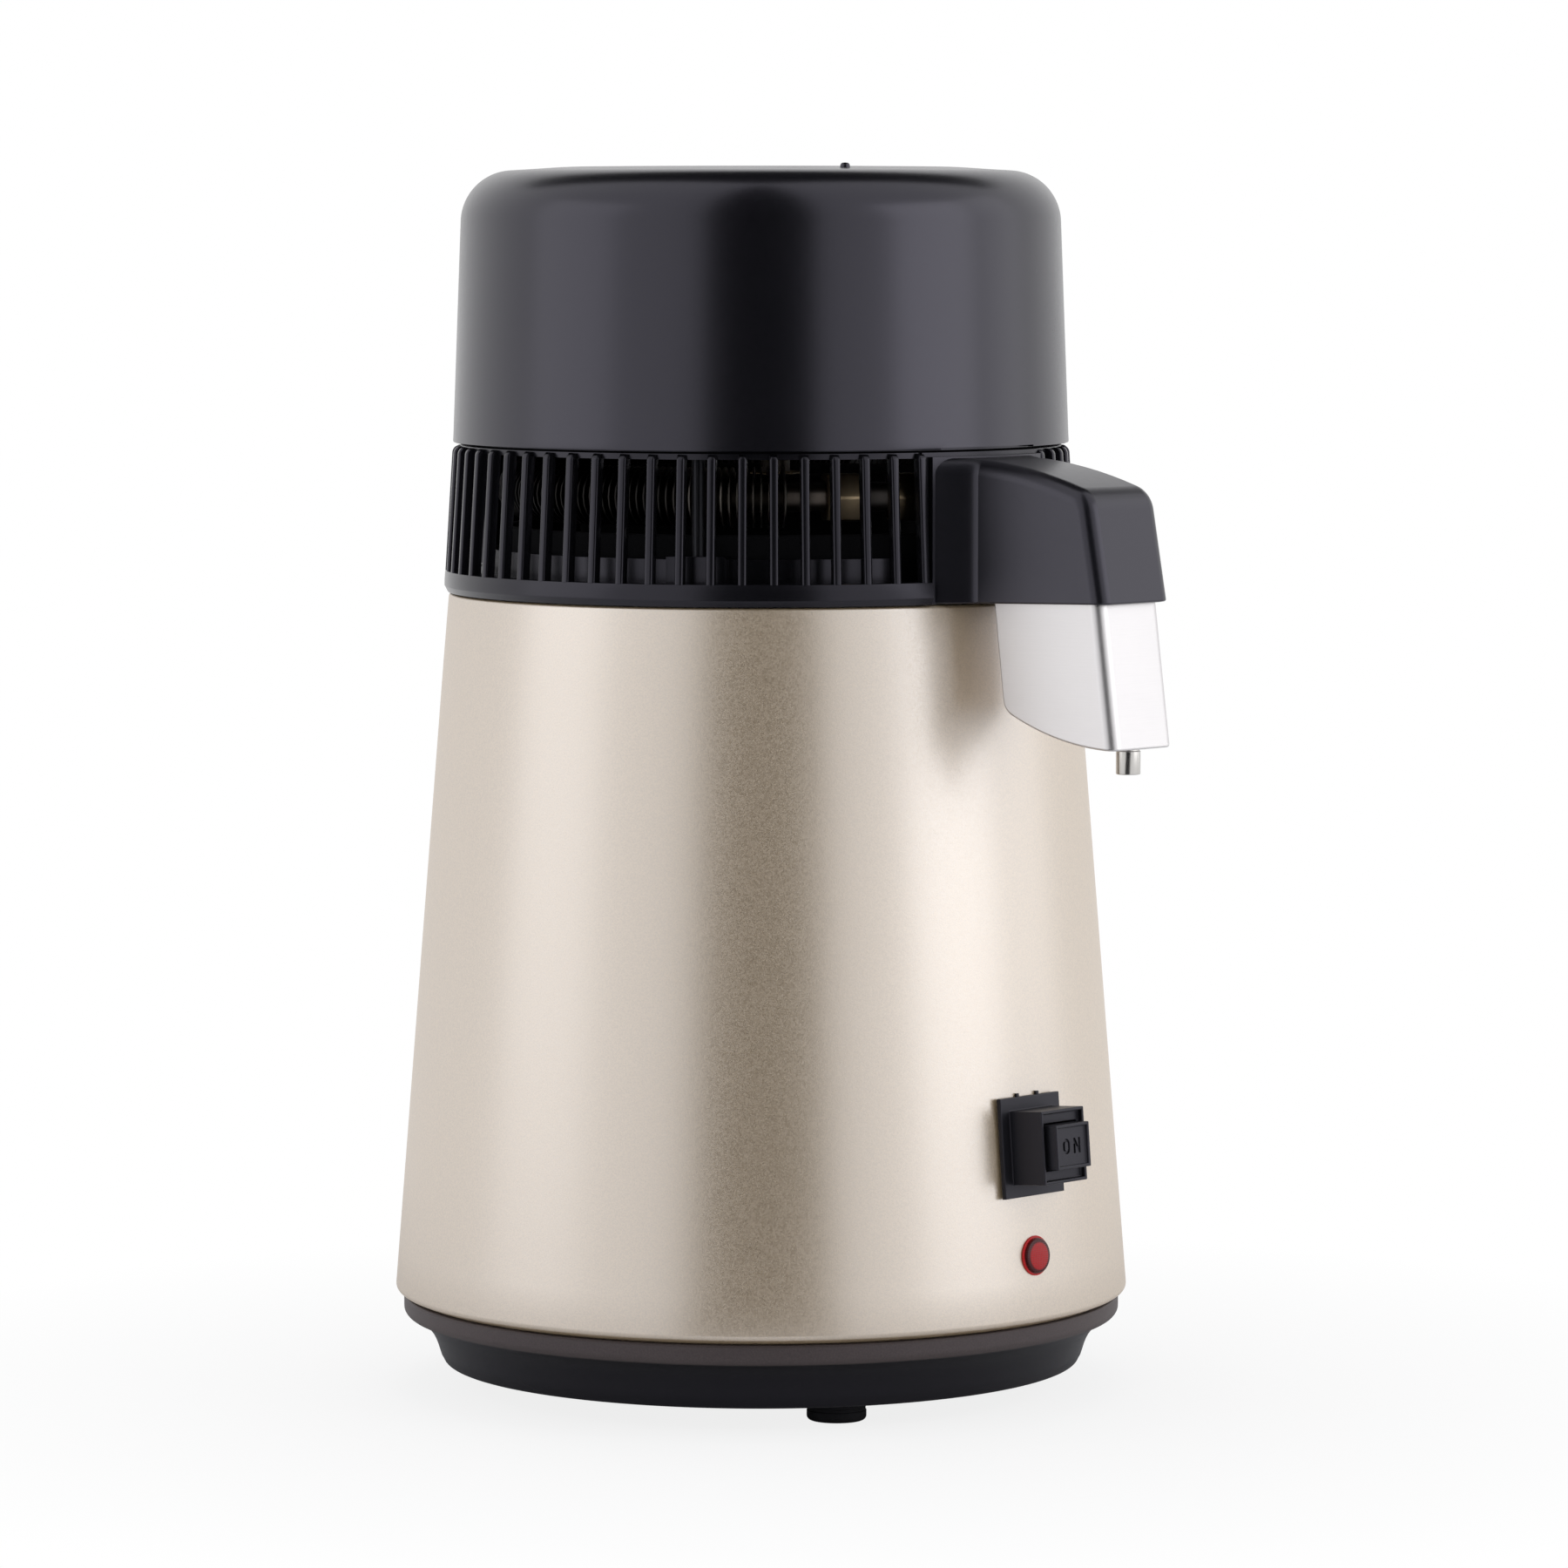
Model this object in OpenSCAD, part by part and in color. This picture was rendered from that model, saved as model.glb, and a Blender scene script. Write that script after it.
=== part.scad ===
// Countertop water distiller: a steel boiling tank in a painted housing, a lift-off fan head
// with an air-cooled condenser, and a spout with a pull-down filter cup.
// Millimetres. The front, with the spout and the switch, faces -Y, and z = 0 is the worktop.

/* [Feet] */
// Height of a rubber foot below the base pan
foot_h = 7.5; // [6:0.5:12]
// Diameter of a rubber foot
foot_d = 18; // [15:1:22]
// Step from the pan's bottom edge in to the middle of a foot
foot_inset = 21.5; // [18:0.5:26]
// Diameter of the screw through a foot
foot_screw_d = 4; // [3:0.5:5]

/* [Base pan] */
// Height of the base pan
pan_h = 20.9; // [18:0.1:28]
// Step from the housing's widest radius in to the pan's bottom edge
pan_sole_inset = 15.5; // [13:0.5:18]
// Step from the housing's widest radius in to the pan's upright band
pan_inset = 2.4; // [1.5:0.1:4]
// Radius of the bead under the upright band
pan_bead_r = 4; // [2.5:0.5:6]
// Thickness of the pan's floor and wall
pan_wall = 2.4; // [1.8:0.1:3.2]

/* [Housing] */
// Height of the painted housing
housing_h = 216.6; // [205:0.1:240]
// Widest radius of the housing, just above its bottom hem
housing_bottom_r = 113; // [110:0.5:120]
// Radius of the housing at its top edge
housing_top_r = 96; // [94:0.5:100]
// Thickness of the housing's sheet
housing_sheet = 0.8; // [0.5:0.1:1.2]
// Height of the rolled hem at the bottom of the housing
hem_h = 3.1; // [2:0.1:5]

/* [Boiling tank] */
// Width of the tank's rim, from its inside wall out to the housing's top edge
tank_rim_w = 10; // [9:0.5:14]
// Depth of the boiling tank below its rim
tank_depth = 183; // [165:1:190]
// Thickness of the tank's sheet
tank_wall = 0.8; // [0.6:0.1:1.2]
// Radius of the tank's bottom corner
tank_corner_r = 10; // [6:1:16]

/* [Heater] */
// Step from the tank's inside wall in to the heat spreader's edge
spreader_inset = 26; // [24:1:32]
// Thickness of the heat spreader
spreader_t = 5; // [3:0.5:7]
// Step from the heat spreader's edge in to the middle of the tubular element
element_inset = 15; // [10:1:20]
// Diameter of the tubular element
element_d = 8; // [6:0.5:10]
// Diameter of the thermal cutout
cutout_d = 16; // [12:1:22]
// Step from the tank's inside wall in to the tank studs
stud_inset = 16; // [13:0.5:18]
// Diameter of a tank stud
stud_d = 5; // [4:0.5:6]
// Gap between the element's terminals and the heat shield
shield_gap = 4; // [3:0.5:8]

/* [Switch] */
// Height of the switch's middle above the worktop
switch_z = 83; // [76:1:110]
// Width of the switch plate
plate_w = 27; // [25:0.5:32]
// Height of the switch plate
plate_h = 30; // [27:0.5:36]
// Thickness of the switch plate
plate_t = 1.6; // [1.2:0.1:2.4]
// Width of the collar round the button
collar_w = 19.5; // [18.5:0.5:22]
// Height of the collar round the button
collar_h = 22; // [18:0.5:25]
// Length of the collar in front of the plate
collar_len = 12.5; // [10:0.5:15]
// Width of the button
button_w = 15.2; // [14:0.1:16]
// Height of the button
button_h = 13.4; // [12:0.1:15]
// How far the button stands out past the collar
button_proud = 3.6; // [3.2:0.1:5]
// Travel of the button
button_travel = 3; // [2:0.1:3]

/* [Lamp] */
// Height of the lamp's middle above the worktop
lamp_z = 50; // [46:1:58]
// Diameter of the lamp lens
lamp_d = 12; // [10:0.5:14]
// How far the lens stands out of the housing
lamp_proud = 2; // [1.6:0.1:3]

/* [Sockets] */
// Height of the mains inlet's middle above the worktop
inlet_z = 83; // [78:1:110]
// Width of the mains inlet's flange
inlet_w = 24; // [23:0.5:28]
// Height of the mains inlet's flange
inlet_h = 31; // [30:0.5:36]
// Height of the fan socket's middle above the worktop
fan_socket_z = 214; // [190:1:222]
// Diameter of the cord gland in the fan cap
gland_d = 12; // [10:0.5:14]

/* [Slotted ring] */
// Height of the slotted ring
ring_h = 43.6; // [42:0.1:50]
// Height of the ring's plain lower band
ring_band_h = 6.7; // [5:0.1:8]
// How far the ring's lower band stands out past the housing's top edge
ring_proud = 1.3; // [0.5:0.1:2]
// How far the ring's top edge lies inside the housing's top edge
ring_taper = 1.2; // [0.5:0.1:2]
// Number of rib positions round the ring
rib_count = 64; // [50:2:72]
// Width of a rib
rib_w = 2.6; // [2:0.1:3]
// Depth of a rib
rib_depth = 3.5; // [3:0.1:4.5]

/* [Fan cap] */
// Height of the fan cap
cap_h = 84.6; // [82:0.1:96]
// Draft angle of the cap's side
cap_draft = 2.15; // [1:0.05:3]
// Radius of the cap's top edge
cap_fillet = 16; // [12:0.5:18]
// Height of the crown of the cap's top
cap_crown = 1; // [0.6:0.1:1.5]
// Thickness of the cap's wall
cap_wall = 2.5; // [2:0.1:3]
// Gap between the ribs' tops and the cap's edge
cap_gap = 1.5; // [1:0.1:2.5]
// Lap of the finger guard past the fan's bore
guard_lap = 2.5; // [2:0.1:4]
// Angle of the moulded nib on the cap's top, from the X axis
nib_a = -115; // [-180:5:180]

/* [Fan] */
// Gap between the corners of the square fan frame and the cap's wall
fan_corner_gap = 5.7; // [4:0.1:8]
// Depth of the fan frame
fan_depth = 38; // [36:0.5:40]
// Step from the edge of the fan frame in to its screws
fan_screw_inset = 7.1; // [6.5:0.1:8]
// Thickness of the fan frame's wall where the bore comes nearest to its edge
fan_ring_wall = 2; // [1.5:0.1:3]
// Radius of the fan's hub
hub_r = 28; // [26:0.5:31]
// Number of blades
blade_count = 7; // [5:1:9]
// Angle of a blade to the plane of rotation
blade_angle = 38; // [30:1:45]
// Diameter of the fan's shaft
shaft_d = 4; // [3.5:0.1:5]

/* [Condenser] */
// Gap between the cooling fins and the tie rods
coil_gap = 1.3; // [1:0.1:4]
// Diameter of the condenser tube
coil_tube_d = 9; // [8:0.5:10]
// Diameter of a cooling fin
fin_d = 18; // [15:0.5:18.5]
// Spacing of the fins along the tube
fin_pitch = 4.2; // [3.5:0.1:8]
// Thickness of a fin
fin_t = 0.5; // [0.3:0.1:0.8]
// Rise from the lower turn to the upper turn
coil_rise = 21; // [19.5:0.5:23]
// Height of the lower turn above the head's floor
coil_lift = 25; // [21:0.5:27]

/* [Spout] */
// Width of the spout hood
hood_w = 31; // [29:0.5:34]
// Length of the hood in front of the ring's top edge
hood_len = 55.6; // [50:0.2:62]
// Lean of the hood's front face from upright
hood_lean = 10.6; // [8:0.1:12]
// Radius of the hood's nose
hood_nose_r = 9; // [6:0.5:12]
// Radius of the long curve of the hood's top
hood_top_r = 160; // [150:5:220]
// Radius of the concave root where the hood meets the ring
hood_root_r = 9; // [6:0.5:10]
// Thickness of the hood's wall
hood_wall = 1.8; // [1.4:0.1:2.2]

/* [Filter cup] */
// Depth of the cup below the hood's bottom edge
cup_depth = 43; // [36:0.5:50]
// Height of the cup that is hidden in the hood
cup_tuck = 11; // [8:0.5:12]
// Setback of the cup's front face behind the hood's front edge
cup_setback = 3; // [2.6:0.1:4]
// Gap between the ring's top edge and the cup's back face, at the hood's bottom edge
cup_back_gap = 11.7; // [11:0.1:15]
// Lean of the cup's front face from upright
cup_front_lean = 7.7; // [6:0.1:9]
// Lean of the cup's back face from upright
cup_back_lean = 6.9; // [5:0.1:9]
// Radius of the long curve of the cup's bottom
cup_bottom_r = 94; // [86:1:110]
// Thickness of the cup's sheet
cup_wall = 0.8; // [0.6:0.1:1.2]
// Outside diameter of the drip nozzle
nozzle_d = 7.3; // [6.5:0.1:8.5]
// Inside diameter of the drip nozzle
nozzle_bore_d = 6; // [4:0.1:6]
// Length of the drip nozzle below the cup
nozzle_len = 7.6; // [5:0.1:12]

/* [Fits] */
// Height of the gap under the lift-off head
head_gap = 0.4; // [0.3:0.1:0.8]
// Gap under the head's seal
seal_gap = 0.2; // [0.2:0.05:0.3]
// Clearance between pieces that slide
slide_fit = 0.3; // [0.25:0.05:0.4]
// Clearance between pieces that are fastened together
close_fit = 0.1; // [0.05:0.01:0.15]
// Radial clearance between the fan's shaft and its bearings
run_fit = 0.02; // [0.02:0.01:0.05]

/* [Hidden] */
$fn = 64;
over = 1;

// Levels from the worktop up
pan_z = foot_h;
pan_floor_z = pan_z + pan_wall;
pan_top = pan_z + pan_h;
hem_top = pan_top + hem_h;
housing_top = pan_top + housing_h;
tank_base_z = housing_top - tank_depth;
spreader_z = tank_base_z - spreader_t;
element_leg = 6;
element_pin_len = 5;
element_base_z = spreader_z - element_d / 2 - element_leg - element_pin_len;
shield_t = 1;
shield_z = element_base_z - shield_gap - shield_t;

// The lift-off head's levels
tank_lip_top = housing_top + tank_wall;
gasket_z = tank_lip_top + seal_gap;
gasket_h = 3;
cover_z = gasket_z + gasket_h;
cover_sheet = 0.8;
floor_z = cover_z + cover_sheet;
floor_t = 2;
floor_top = floor_z + floor_t;
ring_z = housing_top + head_gap;
band_top = ring_z + ring_band_h;
ring_top = ring_z + ring_h;
cap_z = ring_top + cap_gap;
cap_top = cap_z + cap_h;

// Radii of the base, the housing and the tank
housing_lean = atan((housing_bottom_r - housing_top_r) / (housing_h - hem_h));
pan_sole_r = housing_bottom_r - pan_sole_inset;
foot_ring_r = pan_sole_r - foot_inset;
pan_band_r = housing_bottom_r - pan_inset;
pan_lip_w = 2.4;
pan_upstand_r = pan_band_r - pan_lip_w;
pan_upstand_h = 4;
tank_r = housing_top_r - tank_rim_w;
tank_out_r = tank_r + tank_wall;
tank_lip_setback = 2.5;
tank_lip_r = housing_top_r - tank_lip_setback;
housing_lip_gap = 3;
housing_lip_r = tank_out_r + housing_lip_gap;
spreader_r = tank_r - spreader_inset;
element_r = spreader_r - element_inset;
stud_ring_r = tank_r - stud_inset;
gasket_w = 3;
gasket_setback = 1.3;
gasket_out_r = tank_lip_r - gasket_setback;

// Radii of the ring and the cap
ring_foot_r = housing_top_r + ring_proud;
ring_head_r = housing_top_r - ring_taper;
band_wall = 3;
band_in_r = ring_foot_r - band_wall;
rib_in_r = ring_head_r - rib_depth;
collar_step = 1.4;
collar_out_r = ring_head_r - collar_step;
collar_lap = 1.1;
collar_in_r = rib_in_r - collar_lap;
ring_collar_h = 4;
cap_step = 0.3;
cap_r = ring_head_r - cap_step;

// Radius of the painted wall at height z
function wall_r(z) = housing_top_r + (housing_top - z) * tan(housing_lean);

// The coil's level
coil_z = floor_top + coil_lift;
coil_top_z = coil_z + coil_rise;

// The spout's side profile, in radius and height
hood_lift = 1.6;
hood_z = ring_z + hood_lift;
hood_reach = ring_head_r + hood_len;
hood_root_in_r = collar_out_r + close_fit;
hood_half_angle = asin((hood_w / 2 + hood_root_r) / ring_head_r);
hood_plate_t = 1.6;
hood_top_setback = 4.8;
hood_top_drop = 0.3;
hood_top_c = [ring_head_r - hood_top_setback, ring_top - hood_top_drop - hood_top_r];
window_margin = 2.5;
window_half_w = hood_w / 2 - hood_wall - window_margin;
window_below = 6;
window_above = 3;
window_z = coil_z - coil_tube_d / 2 - window_below;
window_top = coil_z + coil_tube_d / 2 + window_above;
boss_d = 6.5;
boss_len = 7;
hood_screw_d = 3;
hood_screw_x = hood_w / 2 - hood_wall - boss_d / 2;
hood_screw_lift = 4;
hood_screw_z = band_top + hood_screw_lift;

// The cup's side profile
cup_front_r = hood_reach - cup_setback;
cup_back_r = ring_head_r + cup_back_gap;
cup_base_z = hood_z - cup_depth;
cup_top_z = hood_z + cup_tuck;
cup_reach = cup_front_r + cup_depth * tan(cup_front_lean);
cup_half_w = hood_w / 2 - hood_wall - slide_fit;
cup_bottom_c = [cup_reach, cup_base_z + cup_bottom_r];
nozzle_setback = 6.2;
nozzle_r = cup_reach - nozzle_setback;
nozzle_z = cup_base_z - nozzle_len;
nozzle_neck = 0.6;
nozzle_neck_d = (nozzle_d + nozzle_bore_d) / 2;
nozzle_stub = 1;

// The body's axis lies behind the origin, so that the origin is under the middle of the whole
rear_reach = housing_bottom_r;
axis_y = (cup_reach - rear_reach) / 2;

// Tie rods that hold the head together
rod_angles = [-150, -30, 90];
rod_setback = 7;
rod_ring_r = rib_in_r - rod_setback;
rod_d = 4;
rod_nut_af = 7;
rod_nut_h = 2.4;
rod_boss_w = 18;
rod_boss_t = 7.5;
rod_boss_h = 8;
rod_socket_d = 9;
rod_socket_gap = 1.5;
rod_socket_z = coil_top_z + fin_d / 2 + rod_socket_gap;
rod_socket_h = 14;
rod_grip = 10;
low_wall_setback = 1;
low_wall_r = rod_ring_r - low_wall_setback;
low_wall_t = 2;
low_wall_h = 7;

// Condenser route
coil_r = rod_ring_r - rod_d / 2 - coil_gap - fin_d / 2;
coil_start_a = -55;
coil_lower_turn = 290;
coil_upper_turn = 260;
coil_bend_r = 14;
coil_drop_r = 12;
riser_r = 30;
riser_drop = 8;
riser_top = coil_top_z - coil_drop_r - riser_drop;
fin_margin_a = 4;
outlet_a = coil_start_a + coil_lower_turn;
outlet_bend_r = 14;
outlet_turn = outlet_a - 180;
outlet_run = coil_r / tan(outlet_turn);
coil_lead = coil_tube_d;
outlet_tangent = outlet_bend_r * tan(outlet_turn / 2);
outlet_drop_r = 12;
outlet_share = 0.58;
outlet_r = cup_back_r + (cup_front_r - cup_back_r) * outlet_share;
outlet_clear = 1.5;
outlet_end_z = cup_top_z + outlet_clear;
nut_grip = 5;
nut_af = coil_tube_d + nut_grip;
nut_len = 11;
nut_gap = 20;

// Steam cover
dome_setback = 9;
dome_r = tank_r - dome_setback;
dome_top_margin = 26;
dome_top_r = riser_r + dome_top_margin;
dome_h = 11;
riser_flange_d = 22;
riser_flange_t = 1.6;

// Felt on the dome's flat top, which rises a little past the middle of the lower turn, and a felt
// strip inside the low wall, which ends below the fins
pad_inset = 0.5;
pad_clear = 2;
pad_over = 6;
pad_z = floor_z + dome_h;
pad_h = coil_z + pad_over - pad_z;
strip_gap = 0.35;
strip_t = 4;
strip_out_r = rod_ring_r - rod_boss_t / 2 - strip_gap;
strip_h = coil_z - fin_d / 2 - pad_clear - floor_top;

// Fan, whose square frame takes its width from the room in the cap
fan_drop = 9;
fan_top = cap_top - fan_drop;
fan_z = fan_top - fan_depth;
cap_fillet_z = cap_top - cap_crown - cap_fillet;
cap_fillet_r = cap_r - (cap_fillet_z - cap_z) * tan(cap_draft) - cap_fillet / cos(cap_draft);
cap_room_r = cap_fillet_r + sqrt(pow(cap_fillet - cap_wall, 2) - pow(fan_top - cap_fillet_z, 2));
fan_corner_r = cap_room_r - fan_corner_gap;
fan_corner_cut = 3;
fan_w = sqrt(2) * (fan_corner_r + fan_corner_cut);
fan_pitch = fan_w - 2 * fan_screw_inset;
fan_bore_r = fan_w / 2 - fan_ring_wall;
fan_screw_d = 4;
fan_flange_t = 5;
fan_relief_d = 15;
blade_tip_gap = 1.5;
blade_t = 1.8;
blade_share = 0.9;
strut_w = 5;
strut_t = 3;
tube_wall = 2;
bearing_wall = 2;
bearing_d = shaft_d + 2 * bearing_wall;
bearing_w = 4;
bearing_tube_drop = 14;
bearing_tube_h = fan_depth - bearing_tube_drop;
hub_wall = 3;
hub_top_t = 2.5;
hub_gap = 2;
hub_z = fan_z + strut_t + hub_gap;
hub_top = fan_top - hub_gap;
guard_r = fan_bore_r + guard_lap;
guard_t = 1.6;
guard_rim_w = 3.5;
guard_bar_w = 2;
guard_rings = 4;
guard_spokes = 6;
guard_hub_r = 10;
guard_seat_w = 3;
cap_opening_r = guard_r - guard_seat_w;
nib_setout = 6;
nib_d = 3;
gland_a = 60;
gland_lift = 20;
gland_z = cap_z + gland_lift;

// Switch, in its own frame on the wall, with z pointing out of the wall
face_z = plate_t + collar_len;
collar_rim = 1;
collar_recess = 1.6;
terminal_w = 4.5;
terminal_t = 0.8;
terminal_len = 4.5;
wire_room = 5.6;
inner_len = wall_r(switch_z) - tank_out_r - terminal_len - wire_room;
block_len = 6;
button_spare = 1.5;
button_z = -inner_len + block_len + button_travel + button_spare;
button_top = face_z + button_proud;
button_rim = 1;
button_dish = 0.8;
letter_h = 4.6;
letter_w = 3.2;
letter_stroke = 0.9;
letter_depth = 0.5;
letter_pitch = 1.5 * letter_w;
spring_r = 3.4;
spring_wire_d = 0.8;
spring_turns = 5;
spring_room = 0.6;
spring_bore_r = spring_r + spring_wire_d / 2 + spring_room;
spring_z = -inner_len + block_len;
spring_len = 11;
spring_rest = 0.2;

// Lamp, in the same kind of frame
lamp_skirt = 2;
lamp_body_d = lamp_d - 2 * lamp_skirt;
lamp_body_len = 12;
lamp_flange_t = 0.8;
lamp_wall = 1.2;
lamp_rim = 1.2;
lamp_groove = 0.5;
lamp_nut_grip = 5;
lamp_nut_af = lamp_body_d + lamp_nut_grip;
lamp_nut_h = 2.5;

// Sockets, in the same kind of frame at the rear
inlet_flange_t = 2;
inlet_floor_t = 2;
inlet_lip_x = 3.5;
inlet_lip_y = 2.5;
inlet_wall = 2;
inlet_room = 6.1;
inlet_len = wall_r(inlet_z) - tank_out_r - terminal_len - inlet_room + inlet_flange_t;
inlet_depth = inlet_len - inlet_floor_t;
inlet_body_w = inlet_w - inlet_lip_x;
inlet_body_h = inlet_h - inlet_lip_y;
inlet_pin_pitch = 7;
inlet_pin_w = 4;
inlet_pin_t = 2;
inlet_pin_drop = 2.5;
inlet_pin_x = 1.8;
inlet_earth_x = 3.6;
socket_w = 14;
socket_h = 18;
socket_lip = 3;
socket_len = 7;
socket_floor_t = 1;
socket_pin_d = 2.4;
socket_pin_pitch = 6;
wire_d = 4;
wire_r = wall_r(switch_z) - inner_len - terminal_len / 2 - slide_fit;

// Points of an arc about c, from angle a0 to a1
function arc(c, r, a0, a1, steps) =
    [for (i = [0 : steps]) let (a = a0 + (a1 - a0) * i / steps) c + r * [cos(a), sin(a)]];

function unit(v) = v / norm(v);

// A point at radius r and angle a, at height z
function polar(r, a, z) = [r * cos(a), r * sin(a), z];

// A point turned about the axis by angle a
function turned(p, a) = [p[0] * cos(a) - p[1] * sin(a), p[0] * sin(a) + p[1] * cos(a), p[2]];

function reversed(points) = [for (i = [len(points) - 1 : -1 : 0]) points[i]];

// Least distance between points of a route that lie at least skip steps apart
function least_gap(points, skip) =
    min([for (i = [0 : len(points) - 1 - skip]) for (j = [i + skip : len(points) - 1])
        norm(points[i] - points[j])]);

// Places its children about the body's axis
module at_axis() {
    translate([0, axis_y, 0]) children();
}

// Places copies round the axis at a radius
module round_axis(r, angles) {
    for (a = angles) rotate([0, 0, a]) translate([r, 0, 0]) children();
}

// Places its children on the front wall, with local z out of the wall and local y up it
module on_front(z) {
    at_axis() translate([0, -wall_r(z), z]) rotate([90 - housing_lean, 0, 0]) children();
}

// Places its children on the rear wall in the same way
module on_rear(z) {
    at_axis() rotate([0, 0, 180]) translate([0, -wall_r(z), z])
        rotate([90 - housing_lean, 0, 0]) children();
}

// A block centred on local x and y, from z0 to z1
module block(w, h, z0, z1) {
    translate([-w / 2, -h / 2, z0]) cube([w, h, z1 - z0]);
}

// A hexagonal nut with a bore
module hex_nut(af, h, bore_d) {
    difference() {
        cylinder(d = af / cos(30), h = h, $fn = 6);
        translate([0, 0, -over]) cylinder(d = bore_d, h = h + 2 * over);
    }
}

// A straight tube or sleeve
module sleeve(d, bore_d, h) {
    difference() {
        cylinder(d = d, h = h);
        translate([0, 0, -over]) cylinder(d = bore_d, h = h + 2 * over);
    }
}

// A bent round bar in the local xy plane, about the local origin
module bend(r, d, a0, angle) {
    rotate([0, 0, a0]) rotate_extrude(angle = angle) translate([r, 0]) circle(d = d);
}

// A round tube swept along a route: rings that are carried along without twist, joined by triangles
module swept_tube(route, d, sides) {
    last = len(route) - 1;
    ways = [for (i = [0 : last]) unit(route[min(i + 1, last)] - route[max(i - 1, 0)])];
    first = unit(cross(ways[0], abs(ways[0][2]) < 0.9 ? [0, 0, 1] : [1, 0, 0]));
    across = [for (i = 0, u = first; i <= last; i = i + 1,
        u = i > last ? u : unit(u - (u * ways[i]) * ways[i])) u];
    skin = [for (i = [0 : last]) for (k = [0 : sides - 1]) let (b = 360 * k / sides)
        route[i] + d / 2 * (cos(b) * across[i] + sin(b) * cross(ways[i], across[i]))];
    walls = [for (i = [0 : last - 1]) for (k = [0 : sides - 1])
        let (a = i * sides + k, b = i * sides + (k + 1) % sides)
        each [[a, a + sides, b + sides], [a, b + sides, b]]];
    start_cap = [for (k = [1 : sides - 2]) [0, k, k + 1]];
    end_cap = [for (k = [1 : sides - 2]) last * sides * [1, 1, 1] + [0, k + 1, k]];
    polyhedron(points = skin, faces = concat(walls, start_cap, end_cap));
}

// A side profile of the spout, given in radius and height, as a slab w wide across the front
module side_slab(points, w) {
    at_axis() rotate([90, 0, -90]) translate([0, 0, -w / 2]) linear_extrude(w) polygon(points);
}

// Base

module base_pan() {
    bead_drop = 0.6;
    bead_c = [pan_band_r - pan_bead_r, pan_top - pan_bead_r - bead_drop];
    sole_round = 1.5;
    sole_out = 2.3;
    sole_up = 0.4;
    cove_up = 6.4;
    cove_out = 4.4;
    cove_z = pan_z + cove_up;
    cove_r = pan_sole_r + cove_out;
    outer = concat(
        [[0, pan_z], [pan_sole_r - sole_round, pan_z]],
        arc([pan_sole_r - sole_round, pan_z + sole_round], sole_round, -60, -20, 2),
        [[pan_sole_r + sole_out, pan_z + sole_round + sole_up], [cove_r, cove_z]],
        arc(bead_c, pan_bead_r, -125, 0, 8));
    inner_r = pan_upstand_r - pan_wall;
    inner = [[pan_band_r, pan_top], [pan_upstand_r, pan_top], [pan_upstand_r, pan_top + pan_upstand_h],
        [inner_r, pan_top + pan_upstand_h], [inner_r, pan_top - pan_bead_r],
        [cove_r - pan_wall, cove_z + pan_wall], [pan_sole_r - pan_wall, pan_floor_z], [0, pan_floor_z]];
    screw_boss_h = 5;
    screw_boss_wall = 3;
    color("#2b2826") at_axis() difference() {
        union() {
            rotate_extrude() polygon(concat(outer, inner));
            round_axis(foot_ring_r, [-120, 0, 120])
                translate([0, 0, pan_floor_z - over])
                    cylinder(d = foot_screw_d + 2 * screw_boss_wall, h = screw_boss_h + over);
        }
        round_axis(foot_ring_r, [-120, 0, 120])
            translate([0, 0, pan_z - over])
                cylinder(d = foot_screw_d + close_fit, h = pan_wall + screw_boss_h + 2 * over);
        round_axis(stud_ring_r, [-60, 60, 180])
            translate([0, 0, pan_z - over]) cylinder(d = stud_d + 2 * close_fit, h = pan_wall + 2 * over);
    }
}

foot_recess_h = 3;
foot_screw_head_d = foot_screw_d * 1.8;

module rubber_feet() {
    edge = 1;
    recess_gap = 0.5;
    recess_r = foot_screw_head_d / 2 + recess_gap;
    hole_r = (foot_screw_d + close_fit) / 2;
    color("#1b1b1c") at_axis() round_axis(foot_ring_r, [-120, 0, 120]) rotate_extrude()
        polygon([[recess_r, 0], [foot_d / 2 - edge, 0], [foot_d / 2, edge], [foot_d / 2, foot_h],
            [hole_r, foot_h], [hole_r, foot_recess_h], [recess_r, foot_recess_h]]);
}

module foot_screws() {
    head_drop = 0.6;
    head_h = foot_recess_h - head_drop;
    bite = 5;
    color("#b9bcc0") at_axis() round_axis(foot_ring_r, [-120, 0, 120])
        translate([0, 0, foot_recess_h - head_h]) {
            cylinder(d = foot_screw_head_d, h = head_h);
            cylinder(d = foot_screw_d, h = head_h + foot_h - foot_recess_h + pan_wall + bite);
        }
}

// Housing and boiling tank

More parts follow.
